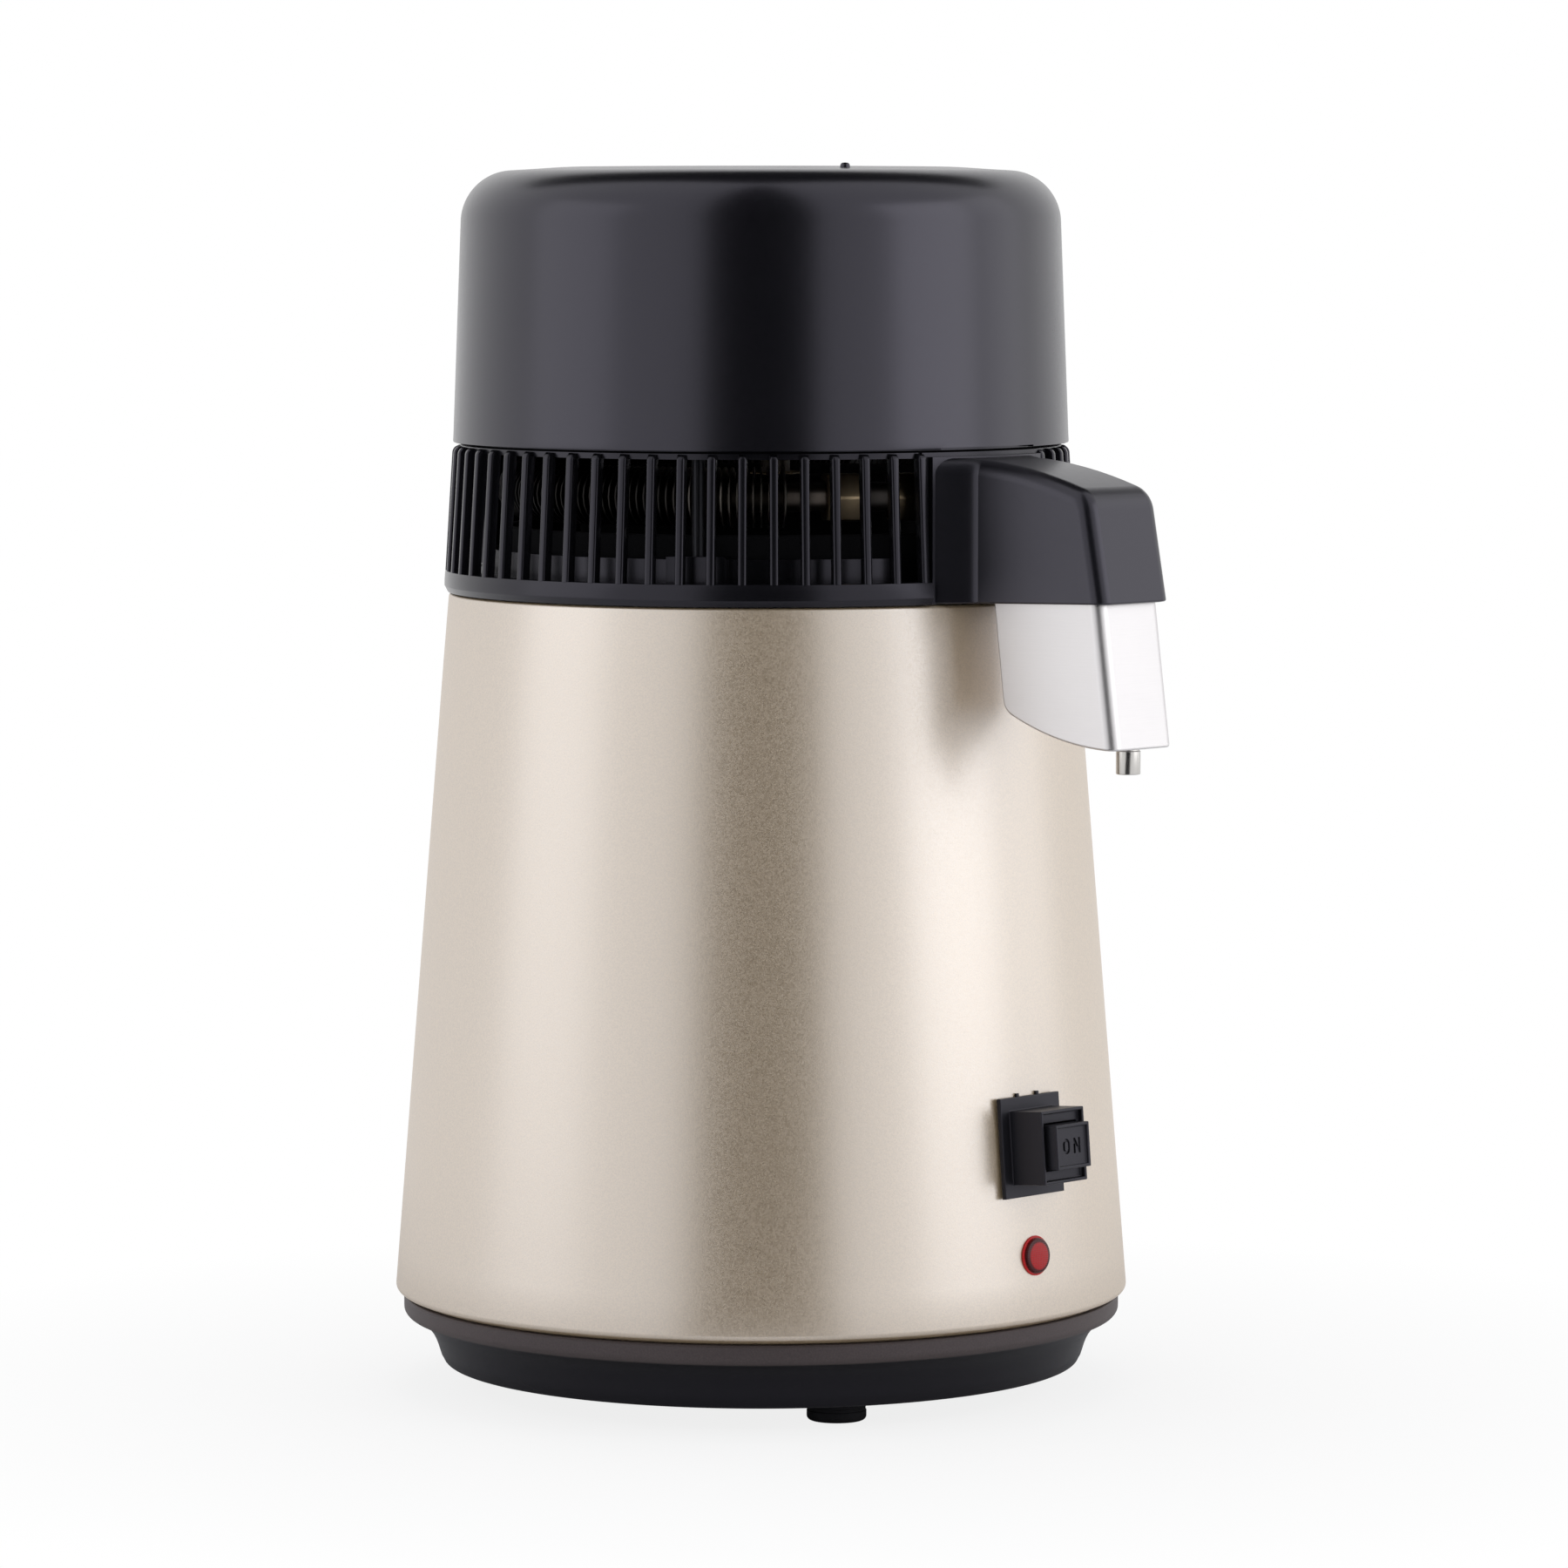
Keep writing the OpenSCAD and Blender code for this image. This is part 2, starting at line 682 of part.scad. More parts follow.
module outer_housing() {
    s = housing_sheet;
    hem_gap = 0.4;
    hem_in_r = pan_upstand_r + hem_gap;
    roll = 1.2;
    outer = concat(
        [[hem_in_r, pan_top]],
        arc([housing_bottom_r - hem_h + roll, hem_top], hem_h - roll, -75, 0, 5),
        arc([wall_r(housing_top) - roll, housing_top - roll], roll, 0, 90, 4),
        [[housing_lip_r, housing_top]]);
    inner = concat(
        [[housing_lip_r, housing_top - s], [housing_top_r - roll, housing_top - s],
            [wall_r(housing_top - roll) - s, housing_top - roll]],
        reversed(arc([housing_bottom_r - hem_h + roll, hem_top], hem_h - roll - s, -75, 0, 5)),
        [[hem_in_r, pan_top + s]]);
    color("#cdc2ac") difference() {
        at_axis() rotate_extrude() polygon(concat(outer, inner));
        on_front(switch_z)
            block(collar_w - 2 * collar_rim + 2 * slide_fit, collar_h - 2 * collar_rim + 2 * slide_fit,
                -inner_len, over);
        on_front(lamp_z) translate([0, 0, -lamp_body_len])
            cylinder(d = lamp_body_d + 2 * close_fit, h = lamp_body_len + over);
        on_rear(inlet_z)
            block(inlet_body_w + 2 * close_fit, inlet_body_h + 2 * close_fit, -inlet_len, over);
        on_rear(fan_socket_z)
            block(socket_w - socket_lip + 2 * close_fit, socket_h - socket_lip + 2 * close_fit,
                -socket_len, over);
    }
}

module boiling_tank() {
    corner_c = [tank_r - tank_corner_r, tank_base_z + tank_wall + tank_corner_r];
    outer = concat([[0, tank_base_z]], arc(corner_c, tank_corner_r + tank_wall, -90, 0, 6),
        [[tank_out_r, housing_top], [tank_lip_r, housing_top], [tank_lip_r, tank_lip_top]]);
    inner = concat([[tank_r, tank_lip_top]], reversed(arc(corner_c, tank_corner_r, -90, 0, 6)),
        [[0, tank_base_z + tank_wall]]);
    color("#c9cbcd") at_axis() rotate_extrude() polygon(concat(outer, inner));
}

stud_nut_h = 4;
stud_end = 1;
stud_nut_share = 1.6;

module tank_studs() {
    stud_z = pan_z - stud_nut_h - stud_end;
    color("#b4b7ba") at_axis() round_axis(stud_ring_r, [-60, 60, 180])
        translate([0, 0, stud_z]) cylinder(d = stud_d, h = tank_base_z - stud_z);
}

module stud_nuts() {
    color("#b4b7ba") at_axis() round_axis(stud_ring_r, [-60, 60, 180])
        translate([0, 0, pan_z - stud_nut_h])
            hex_nut(stud_d * stud_nut_share, stud_nut_h, stud_d + close_fit);
}

// Heater

cutout_gap = 1;

module heat_spreader() {
    color("#a9adb2") at_axis() translate([0, 0, spreader_z])
        sleeve(2 * spreader_r, cutout_d + 2 * cutout_gap, spreader_t);
}

element_open_a = 40;

module heating_element() {
    z = spreader_z - element_d / 2;
    collar = 1;
    color("#6d6a68") at_axis() translate([0, 0, z]) {
        bend(element_r, element_d, 90 + element_open_a / 2, 360 - element_open_a);
        round_axis(element_r, [90 - element_open_a / 2, 90 + element_open_a / 2])
            translate([0, 0, -element_leg])
                cylinder(d = element_d + 2 * collar, h = element_leg + element_d / 2);
    }
}

module element_terminals() {
    color("#c7c2b2") at_axis() round_axis(element_r, [90 - element_open_a / 2, 90 + element_open_a / 2])
        translate([0, 0, element_base_z]) cylinder(d = element_d / 2, h = element_pin_len);
}

module thermal_cutout() {
    can_h = 8;
    blade_h = 6;
    color("#8d8f93") at_axis() translate([0, 0, tank_base_z]) {
        translate([0, 0, -spreader_t - can_h]) cylinder(d = cutout_d, h = can_h + spreader_t);
        for (side = [-1, 1]) translate([side * cutout_d / 4, 0, 0])
            block(terminal_t, terminal_w, -spreader_t - can_h - blade_h, -spreader_t - can_h);
    }
}

module heat_shield() {
    color("#b9bbbd") at_axis() translate([0, 0, shield_z]) difference() {
        cylinder(r = tank_r, h = shield_t);
        round_axis(stud_ring_r, [-60, 60, 180]) translate([0, 0, -over])
            cylinder(d = stud_d + 2 * close_fit, h = shield_t + 2 * over);
    }
}

module shield_spacers() {
    wall = 2;
    color("#8f9296") at_axis() round_axis(stud_ring_r, [-60, 60, 180]) {
        translate([0, 0, pan_floor_z])
            sleeve(stud_d + 2 * wall, stud_d + 2 * close_fit, shield_z - pan_floor_z);
        translate([0, 0, shield_z + shield_t])
            sleeve(stud_d + 2 * wall, stud_d + 2 * close_fit, tank_base_z - shield_z - shield_t);
    }
}

// Switch

module switch_housing() {
    w = collar_w - 2 * collar_rim;
    h = collar_h - 2 * collar_rim;
    nib = 1;
    color("#262628") on_front(switch_z) difference() {
        union() {
            block(plate_w, plate_h, 0, plate_t);
            block(collar_w, collar_h, plate_t, face_z);
            block(w, h, -inner_len, 0);
            for (side = [-1, 1]) translate([side * plate_w / 6, plate_h / 2, 0])
                block(nib, 2 * nib, 0, plate_t / 2);
        }
        block(w, h, face_z - collar_recess, face_z + over);
        block(button_w + 2 * slide_fit, button_h + 2 * slide_fit, -inner_len - over, face_z + over);
    }
}

module switch_block() {
    seat_h = 2;
    seat_gap = 0.5;
    color("#d9d4c8") on_front(switch_z) {
        block(button_w + 2 * slide_fit, button_h + 2 * slide_fit, -inner_len, spring_z);
        translate([0, 0, spring_z])
            cylinder(r = spring_r - spring_wire_d / 2 - seat_gap, h = seat_h);
    }
}

module switch_terminals() {
    color("#d2b26a") on_front(switch_z) for (side = [-1, 1])
        translate([side * button_w / 4, 0, 0])
            block(terminal_t, terminal_w, -inner_len - terminal_len, -inner_len);
}

// The return spring's centre line
spring_steps = 8;
spring_route = [for (i = [0 : spring_steps * spring_turns]) let (t = i / spring_steps)
    polar(spring_r, 360 * t, spring_wire_d / 2 + spring_rest
        + (spring_len - spring_wire_d - 2 * spring_rest) * t / spring_turns)];

module return_spring() {
    echo(return_spring_least_gap = least_gap(spring_route, spring_steps / 2 + 1) - spring_wire_d);
    color("#c0c3c6") on_front(switch_z) translate([0, 0, spring_z])
        swept_tube(spring_route, spring_wire_d, 6);
}

// Block letters for the button's face
module letter_o() {
    straight = letter_h - letter_w;
    difference() {
        union() {
            for (side = [-1, 1]) translate([0, side * straight / 2]) circle(d = letter_w);
            square([letter_w, straight], center = true);
        }
        for (side = [-1, 1]) translate([0, side * straight / 2]) circle(d = letter_w - 2 * letter_stroke);
        square([letter_w - 2 * letter_stroke, straight], center = true);
    }
}

module letter_n() {
    x = letter_w / 2;
    y = letter_h / 2;
    s = letter_stroke;
    polygon([[-x, -y], [s - x, -y], [s - x, y - 2 * s], [x - s, -y], [x, -y], [x, y], [x - s, y],
        [x - s, 2 * s - y], [s - x, y], [-x, y]]);
}

module on_button() {
    dish_z = button_top - button_dish;
    color("#2a2a2d") on_front(switch_z) difference() {
        block(button_w, button_h, button_z, button_top);
        block(button_w - 2 * button_rim, button_h - 2 * button_rim, dish_z, button_top + over);
        translate([-letter_pitch / 2, 0, dish_z - letter_depth])
            linear_extrude(letter_depth + over) letter_o();
        translate([letter_pitch / 2, 0, dish_z - letter_depth])
            linear_extrude(letter_depth + over) letter_n();
        translate([0, 0, button_z - over])
            cylinder(r = spring_bore_r, h = spring_z + spring_len - button_z + over);
    }
}

// Lamp

module lamp_lens() {
    color("#d01f1c") on_front(lamp_z) difference() {
        union() {
            cylinder(d = lamp_d, h = lamp_proud - lamp_rim / 2);
            cylinder(d = lamp_d - lamp_rim, h = lamp_proud);
        }
        translate([0, 0, -over]) cylinder(d = lamp_body_d - 2 * lamp_wall, h = over + lamp_flange_t);
        translate([0, 0, lamp_proud - lamp_groove]) sleeve(lamp_d - 2 * lamp_rim, lamp_body_d, lamp_proud);
    }
}

module lamp_holder() {
    color("#1f1f20") on_front(lamp_z) translate([0, 0, -lamp_body_len])
        sleeve(lamp_body_d, lamp_body_d - 2 * lamp_wall, lamp_body_len);
}

module lamp_nut() {
    sag = lamp_nut_af * lamp_nut_af / (6 * wall_r(lamp_z));
    color("#e4e2dc") on_front(lamp_z) translate([0, 0, -housing_sheet - sag - lamp_nut_h])
        hex_nut(lamp_nut_af, lamp_nut_h, lamp_body_d + close_fit);
}

// Sockets at the rear

module mains_inlet() {
    color("#1d1d1f") on_rear(inlet_z) difference() {
        union() {
            block(inlet_w, inlet_h, 0, inlet_flange_t);
            block(inlet_body_w, inlet_body_h, -inlet_len + inlet_flange_t, 0);
        }
        block(inlet_body_w - 2 * inlet_wall, inlet_body_h - 2 * inlet_wall,
            inlet_flange_t - inlet_depth, inlet_flange_t + over);
        for (i = [-1 : 1]) translate([i == 0 ? inlet_earth_x : -inlet_pin_x, i * inlet_pin_pitch, 0])
            block(inlet_pin_t, inlet_pin_w, -inlet_len, 0);
    }
}

module inlet_pins() {
    pin_z = inlet_flange_t - inlet_len - terminal_len;
    pin_top = inlet_flange_t - inlet_pin_drop;
    color("#cfd1d3") on_rear(inlet_z) for (i = [-1 : 1])
        translate([i == 0 ? inlet_earth_x : -inlet_pin_x, i * inlet_pin_pitch, 0])
            block(inlet_pin_t, inlet_pin_w, pin_z, pin_top);
}

module fan_socket() {
    color("#1d1d1f") on_rear(fan_socket_z) difference() {
        union() {
            block(socket_w, socket_h, 0, inlet_flange_t);
            block(socket_w - socket_lip, socket_h - socket_lip, -socket_len + inlet_flange_t, 0);
        }
        block(socket_w - 2 * socket_lip, socket_h - 2 * socket_lip,
            inlet_flange_t - socket_len + socket_floor_t, inlet_flange_t + over);
        for (side = [-1, 1]) translate([0, side * socket_pin_pitch / 2, -socket_len])
            cylinder(d = socket_pin_d, h = socket_len);
    }
}

module socket_pins() {
    color("#cfd1d3") on_rear(fan_socket_z) for (side = [-1, 1])
        translate([0, side * socket_pin_pitch / 2, inlet_flange_t - socket_len - socket_floor_t])
            cylinder(d = socket_pin_d, h = socket_len - socket_floor_t);
}

module wiring_loom() {
    steps = 20;
    start_a = asin((button_w / 4 + terminal_t / 2 + slide_fit) / wire_r) - 90;
    end_a = 90 - asin((inlet_pin_x + inlet_pin_t / 2 + slide_fit) / wire_r);
    end_z = inlet_z + inlet_pin_pitch;
    color("#7a4b2a") at_axis() swept_tube([for (i = [0 : steps]) let (t = i / steps)
        polar(wire_r, start_a + (end_a - start_a) * t, switch_z + (end_z - switch_z) * t)], wire_d, 8);
}

// Head: steam cover, floor and ring

module steam_cover() {
    s = cover_sheet;
    outer = [[gasket_out_r, cover_z], [gasket_out_r, floor_z], [dome_r, floor_z],
        [dome_top_r, floor_z + dome_h], [0, floor_z + dome_h]];
    inner = [[0, floor_z + dome_h - s], [dome_top_r - s / 2, floor_z + dome_h - s],
        [dome_r - s / 2, cover_z]];
    color("#c6c8ca") at_axis() difference() {
        rotate_extrude() polygon(concat(outer, inner));
        at_riser(floor_z) translate([0, 0, -over])
            cylinder(d = coil_tube_d + 2 * close_fit, h = dome_h + 2 * over);
        rod_bores(cover_z - over, cover_sheet + 2 * over);
    }
}

// Bores for the tie rods
module rod_bores(z, h) {
    round_axis(rod_ring_r, rod_angles) translate([0, 0, z]) cylinder(d = rod_d + close_fit, h = h);
}

module cover_gasket() {
    color("#e9e6df") at_axis() translate([0, 0, gasket_z])
        sleeve(2 * gasket_out_r, 2 * (gasket_out_r - gasket_w), gasket_h);
}

module head_floor() {
    dome_gap = 1;
    color("#19191b") at_axis() difference() {
        union() {
            translate([0, 0, floor_z]) sleeve(2 * collar_out_r, 2 * (dome_r + dome_gap), floor_t);
            translate([0, 0, floor_top])
                sleeve(2 * low_wall_r, 2 * (low_wall_r - low_wall_t), low_wall_h);
            round_axis(rod_ring_r, rod_angles) translate([-rod_boss_t / 2, -rod_boss_w / 2, floor_top])
                cube([rod_boss_t, rod_boss_w, rod_boss_h]);
        }
        rod_bores(floor_z - over, floor_t + rod_boss_h + 2 * over);
    }
}

// A sector of a ring with a radial profile, centred on the front
module front_sector(half_angle, points) {
    rotate([0, 0, -90 - half_angle]) rotate_extrude(angle = 2 * half_angle) polygon(points);
}

module slotted_ring() {
    pitch_a = 360 / rib_count;
    hood_gap_a = 0.6;
    rib_gap_a = 1.2;
    panel_lap_a = 1;
    window_reach = 4 * rib_depth;
    gap_a = hood_half_angle + hood_gap_a;
    skip = ceil((gap_a + rib_gap_a) / pitch_a);
    band_draft = 0.8;
    band_crown = 0.2;
    rib_step = 0.3;
    band = [[band_in_r, ring_z], [ring_foot_r - band_draft, ring_z],
        [ring_foot_r, (ring_z + band_top) / 2], [ring_foot_r - band_crown, band_top],
        [collar_in_r, band_top], [collar_in_r, floor_top], [band_in_r, floor_top]];
    root_z = (floor_top + band_top) / 2;
    rib = [[ring_foot_r - rib_depth, root_z], [ring_foot_r - rib_step, root_z],
        [ring_head_r, ring_top - rib_w / 2], [ring_head_r - rib_w / 2, ring_top], [rib_in_r, ring_top]];
    panel_z = floor_top + close_fit;
    panel_top = ring_top - ring_collar_h + over;
    panel = [[rib_in_r, panel_z], [collar_out_r - close_fit, panel_z],
        [collar_out_r - close_fit, panel_top], [rib_in_r, panel_top]];
    color("#1c1c1e") at_axis() difference() {
        union() {
            rotate([0, 0, gap_a - 90]) rotate_extrude(angle = 360 - 2 * gap_a) polygon(band);
            front_sector(gap_a + panel_lap_a, panel);
            translate([0, 0, ring_top - ring_collar_h])
                sleeve(2 * collar_out_r, 2 * collar_in_r, ring_collar_h + cap_gap);
            for (i = [skip : rib_count - skip]) rotate([0, 0, i * pitch_a - 90])
                rotate([90, 0, 0]) translate([0, 0, -rib_w / 2]) linear_extrude(rib_w) polygon(rib);
        }
        translate([-window_half_w, -ring_foot_r - over, window_z])
            cube([2 * window_half_w, window_reach, window_top - window_z]);
        hood_screw_bores(collar_in_r - over, hood_screw_d + close_fit, rib_depth + 2 * over);
    }
}

// Bores toward the front for the hood's screws, from radius r outward
module hood_screw_bores(r, d, len) {
    for (side = [-1, 1]) translate([side * hood_screw_x, -r * cos(hood_half_angle / 2), hood_screw_z])
        rotate([90, 0, 0]) cylinder(d = d, h = len);
}

// Spout

function hood_side(inset) =
    let (n = [cos(hood_lean), sin(hood_lean)],
        front = n * [hood_reach, hood_z] - inset,
        top_r = hood_top_r - inset,
        nose = hood_nose_r - inset,
        turn = hood_lean + acos((front - nose - n * hood_top_c) / (top_r - nose)),
        nose_c = hood_top_c + (top_r - nose) * [cos(turn), sin(turn)],
        back_a = acos((hood_root_in_r - 2 * over - hood_top_c[0]) / top_r))
    concat(arc(nose_c, nose, hood_lean, turn, 8), arc(hood_top_c, top_r, turn, back_a, 6));

module spout_hood() {
    mouth_r = hood_reach - hood_wall / cos(hood_lean) + 2 * over * tan(hood_lean);
    inside = concat([[mouth_r, hood_z - 2 * over]], hood_side(hood_wall),
        [[hood_root_in_r - 2 * over, hood_z - 2 * over]]);
    outside = concat([[hood_reach, hood_z]], hood_side(0), [[hood_root_in_r - 2 * over, hood_z]]);
    root_r = hood_root_in_r + hood_plate_t;
    color("#222224") difference() {
        union() {
            intersection() {
                side_slab(outside, 4 * hood_w);
                at_axis() hood_plan(root_r);
                at_axis() translate([0, 0, ring_z]) sleeve(3 * hood_reach, 2 * hood_root_in_r, 2 * ring_h);
            }
            at_axis() front_sector(hood_half_angle, [[hood_root_in_r, hood_z], [root_r, hood_z],
                [root_r, ring_top], [hood_root_in_r, ring_top]]);
        }
        intersection() {
            side_slab(inside, hood_w - 2 * hood_wall);
            at_axis() translate([0, 0, hood_z - 2 * over])
                sleeve(3 * hood_reach, 2 * root_r + hood_plate_t, 2 * ring_h);
        }
        at_axis() translate([-window_half_w, -hood_reach / 2 - root_r / 2, window_z])
            cube([2 * window_half_w, hood_reach / 2, window_top - window_z]);
        at_axis() hood_screw_bores(hood_root_in_r - over, hood_screw_d + close_fit, boss_len);
    }
}

// The hood's plan: parallel sides with concave roots, as an upright prism
module hood_plan(root_r) {
    root_y = -root_r * cos(hood_half_angle);
    translate([0, 0, hood_z]) linear_extrude(ring_top - hood_z) {
        translate([-hood_w / 2, -hood_reach]) square([hood_w, hood_reach + root_y + hood_root_r]);
        for (side = [-1, 1]) difference() {
            translate([side * (hood_w + hood_root_r) / 2, root_y])
                square([hood_root_r, 2 * hood_root_r], center = true);
            translate([side * (hood_w / 2 + hood_root_r), root_y - hood_root_r]) circle(r = hood_root_r);
        }
    }
}

module hood_screws() {
    head_h = 2;
    head_share = 1.9;
    seat = 1;
    color("#b9bcc0") at_axis() {
        hood_screw_bores(collar_in_r - head_h / 2, hood_screw_d, boss_len + seat);
        hood_screw_bores(collar_in_r - head_h - seat, hood_screw_d * head_share, head_h);
    }
}

// Fan cap and finger guard

module fan_cap() {
    c = [cap_fillet_r, cap_fillet_z];
    outer = concat([[cap_r, cap_z]], arc(c, cap_fillet, cap_draft, 90, 10), [[guard_r, cap_top]]);
    rebate = [[guard_r, cap_top - guard_t], [cap_opening_r, cap_top - guard_t],
        [cap_opening_r, cap_top - cap_wall - guard_t], [guard_r, cap_top - cap_wall - cap_crown]];
    inner = concat(reversed(arc(c, cap_fillet - cap_wall, cap_draft, 90, 10)),
        [[cap_r - cap_wall / cos(cap_draft), cap_z]]);
    notch_h = 1.2;
    notch_margin_a = 2;
    notch_half_a = hood_half_angle - notch_margin_a;
    boss_top = cap_top - cap_crown - cap_wall / 2;
    boss_wall = 2.5;
    boss_cover = 1;
    web = cap_r - rod_ring_r - cap_wall / 2 - rod_socket_h * tan(cap_draft);
    color("#232326") at_axis() difference() {
        union() {
            rotate_extrude() polygon(concat(outer, rebate, inner));
            fan_corners() translate([0, 0, fan_top])
                cylinder(d = fan_screw_d + 2 * boss_wall, h = boss_top - fan_top);
            round_axis(rod_ring_r, rod_angles) translate([0, 0, rod_socket_z]) {
                cylinder(d = rod_socket_d, h = rod_socket_h);
                translate([0, -rod_d / 2, 0]) cube([web, rod_d, rod_socket_h]);
            }
            cap_nib();
        }
        front_sector(notch_half_a, [[cap_r - 2 * cap_wall, cap_z - over], [cap_r + over, cap_z - over],
            [cap_r + over, cap_z + notch_h], [cap_r - 2 * cap_wall, cap_z + notch_h]]);
        fan_corners() translate([0, 0, fan_top - over])
            cylinder(d = fan_screw_d + close_fit, h = boss_top - fan_top - boss_cover + over);
        rod_bores(rod_socket_z - over, rod_grip + over);
        rotate([0, 0, gland_a]) translate([cap_r - 3 * cap_wall, 0, gland_z]) rotate([0, 90, 0])
            cylinder(d = gland_d, h = 6 * cap_wall);
    }
}

// A small moulded nib on the cap's top, beside the guard
module cap_nib() {
    nib_top = cap_top + over;
    nib_z = cap_top - cap_crown - over;
    rotate([0, 0, nib_a]) translate([guard_r + nib_setout, 0, nib_z])
        cylinder(d = nib_d, h = nib_top - nib_z);
}

module fan_corners() {
    for (x = [-1, 1]) for (y = [-1, 1]) translate([x * fan_pitch / 2, y * fan_pitch / 2, 0]) children();
}

module finger_guard() {
    step = (guard_r - guard_rim_w - guard_hub_r) / guard_rings;
    color("#1f1f21") at_axis() translate([0, 0, cap_top - guard_t]) {
        sleeve(2 * (guard_r - close_fit), 2 * (guard_r - guard_rim_w), guard_t);
        for (i = [1 : guard_rings - 1]) let (r = guard_hub_r + i * step)
            sleeve(2 * r + guard_bar_w, 2 * r - guard_bar_w, guard_t);
        cylinder(r = guard_hub_r, h = guard_t);
        for (i = [0 : guard_spokes - 1]) rotate([0, 0, i * 360 / guard_spokes])
            translate([guard_hub_r - over, -guard_bar_w / 2, 0])
                cube([guard_r - guard_rim_w - guard_hub_r + 2 * over, guard_bar_w, guard_t]);
    }
}

module cord_gland() {
    flange_in = 3;
    flange_t = 2;
    flange_w = 1.5;
    proud = 2;
    wall_at = cap_r - (gland_z - cap_z) * tan(cap_draft);
    gland_len = flange_in + cap_wall + proud;
    color("#151516") at_axis() rotate([0, 0, gland_a])
        translate([wall_at - cap_wall - flange_in, 0, gland_z]) rotate([0, 90, 0]) difference() {
            union() {
                cylinder(d = gland_d - close_fit, h = gland_len);
                cylinder(d = gland_d + 2 * flange_w, h = flange_t);
            }
            translate([0, 0, -over]) cylinder(d = gland_d / 2, h = gland_len + 2 * over);
        }
}

// Fan

module fan_frame() {
    screw_gap = 0.6;
    color("#2c2d30") at_axis() translate([0, 0, fan_z]) {
        difference() {
            intersection() {
                block(fan_w, fan_w, 0, fan_depth);
                cylinder(r = fan_corner_r, h = fan_depth);
            }
            translate([0, 0, -over]) cylinder(r = fan_bore_r, h = fan_depth + 2 * over);
            fan_corners() translate([0, 0, -over])
                cylinder(d = fan_screw_d + screw_gap, h = fan_depth + 2 * over);
            fan_corners() translate([0, 0, fan_flange_t])
                cylinder(d = fan_relief_d, h = fan_depth - 2 * fan_flange_t);
        }
        difference() {
            union() {
                cylinder(r = hub_r, h = strut_t);
                cylinder(d = bearing_d + 2 * tube_wall, h = bearing_tube_h);
                for (i = [0 : 3]) rotate([0, 0, i * 90]) translate([hub_r - over, -strut_w / 2, 0])
                    cube([fan_bore_r - hub_r + 1.5 * over, strut_w, strut_t]);
            }
            translate([0, 0, strut_t / 2]) cylinder(d = bearing_d, h = bearing_tube_h);
        }
    }
}

module fan_motor() {
    air_gap = 2.5;
    core_r = hub_r - hub_wall - air_gap;
    bore_r = bearing_d / 2 + tube_wall + close_fit;
    core_lift = 6;
    core_z = fan_z + strut_t + core_lift;
    core_h = 12;
    core_top = core_z + core_h;
    wind_h = 3.5;
    wind_step = 4;
    wind_r = core_r - wind_step;
    color("#a8632c") at_axis() rotate_extrude() polygon([[bore_r, core_z - wind_h],
        [wind_r, core_z - wind_h], [wind_r, core_z], [core_r, core_z], [core_r, core_top],
        [wind_r, core_top], [wind_r, core_top + wind_h], [bore_r, core_top + wind_h]]);
}

module fan_bearings() {
    color("#c9ccd0") at_axis() for (z = [fan_z + strut_t / 2 + over, fan_z + bearing_tube_h - bearing_w])
        translate([0, 0, z]) sleeve(bearing_d, shaft_d + 2 * run_fit, bearing_w);
}

module fan_screws() {
    head_h = 2.4;
    head_share = 1.9;
    bite = 3;
    color("#b9bcc0") at_axis() fan_corners() {
        translate([0, 0, fan_z - head_h]) cylinder(d = fan_screw_d * head_share, h = head_h);
        translate([0, 0, fan_z - head_h / 2]) cylinder(d = fan_screw_d, h = fan_depth + head_h / 2 + bite);
    }
}

module fan_impeller() {
    tip_r = fan_bore_r - blade_tip_gap;
    blade_mid_z = (hub_z + hub_top) / 2;
    boss_r = shaft_d / 2 + hub_wall;
    boss_z = fan_z + bearing_tube_h + over;
    color("#303236") at_axis() difference() {
        union() {
            difference() {
                translate([0, 0, hub_z]) cylinder(r = hub_r, h = hub_top - hub_z);
                translate([0, 0, hub_z - over])
                    cylinder(r = hub_r - hub_wall, h = hub_top - hub_top_t - hub_z + over);
            }
            translate([0, 0, boss_z]) cylinder(r = boss_r, h = hub_top - boss_z);
            intersection() {
                for (i = [0 : blade_count - 1]) rotate([0, 0, i * 360 / blade_count])
                    translate([hub_r - hub_wall / 2, 0, blade_mid_z]) rotate([blade_angle, 0, 0])
                        translate([0, -fan_depth * blade_share / 2, -blade_t / 2])
                            cube([tip_r - hub_r + hub_wall, fan_depth * blade_share, blade_t]);
                translate([0, 0, hub_z]) sleeve(2 * tip_r, 2 * hub_r - hub_wall, hub_top - hub_z);
            }
        }
        translate([0, 0, boss_z - over])
            cylinder(d = shaft_d + close_fit, h = hub_top - hub_top_t / 2 - boss_z + over);
    }
}

module fan_shaft() {
    end_gap = 0.5;
    shaft_z = fan_z + strut_t / 2 + end_gap;
    color("#d4d6d9") at_axis() translate([0, 0, shaft_z])
        cylinder(d = shaft_d, h = hub_top - hub_top_t / 2 - shaft_z);
}

// Tie rods

module tie_rods() {
    rod_end = 0.2;
    rod_z = cover_z - rod_nut_h - rod_end;
    color("#2f3033") at_axis() round_axis(rod_ring_r, rod_angles) translate([0, 0, rod_z])
        cylinder(d = rod_d, h = rod_socket_z + rod_grip - rod_z);
}

module rod_nuts() {
    color("#b9bcc0") at_axis() round_axis(rod_ring_r, rod_angles)
        translate([0, 0, cover_z - rod_nut_h]) hex_nut(rod_nut_af, rod_nut_h, rod_d + close_fit);
}

// Condenser

// Places its children at the steam riser's axis
module at_riser(z) {
    rotate([0, 0, coil_start_a + coil_upper_turn]) translate([riser_r, coil_bend_r, z]) children();
}

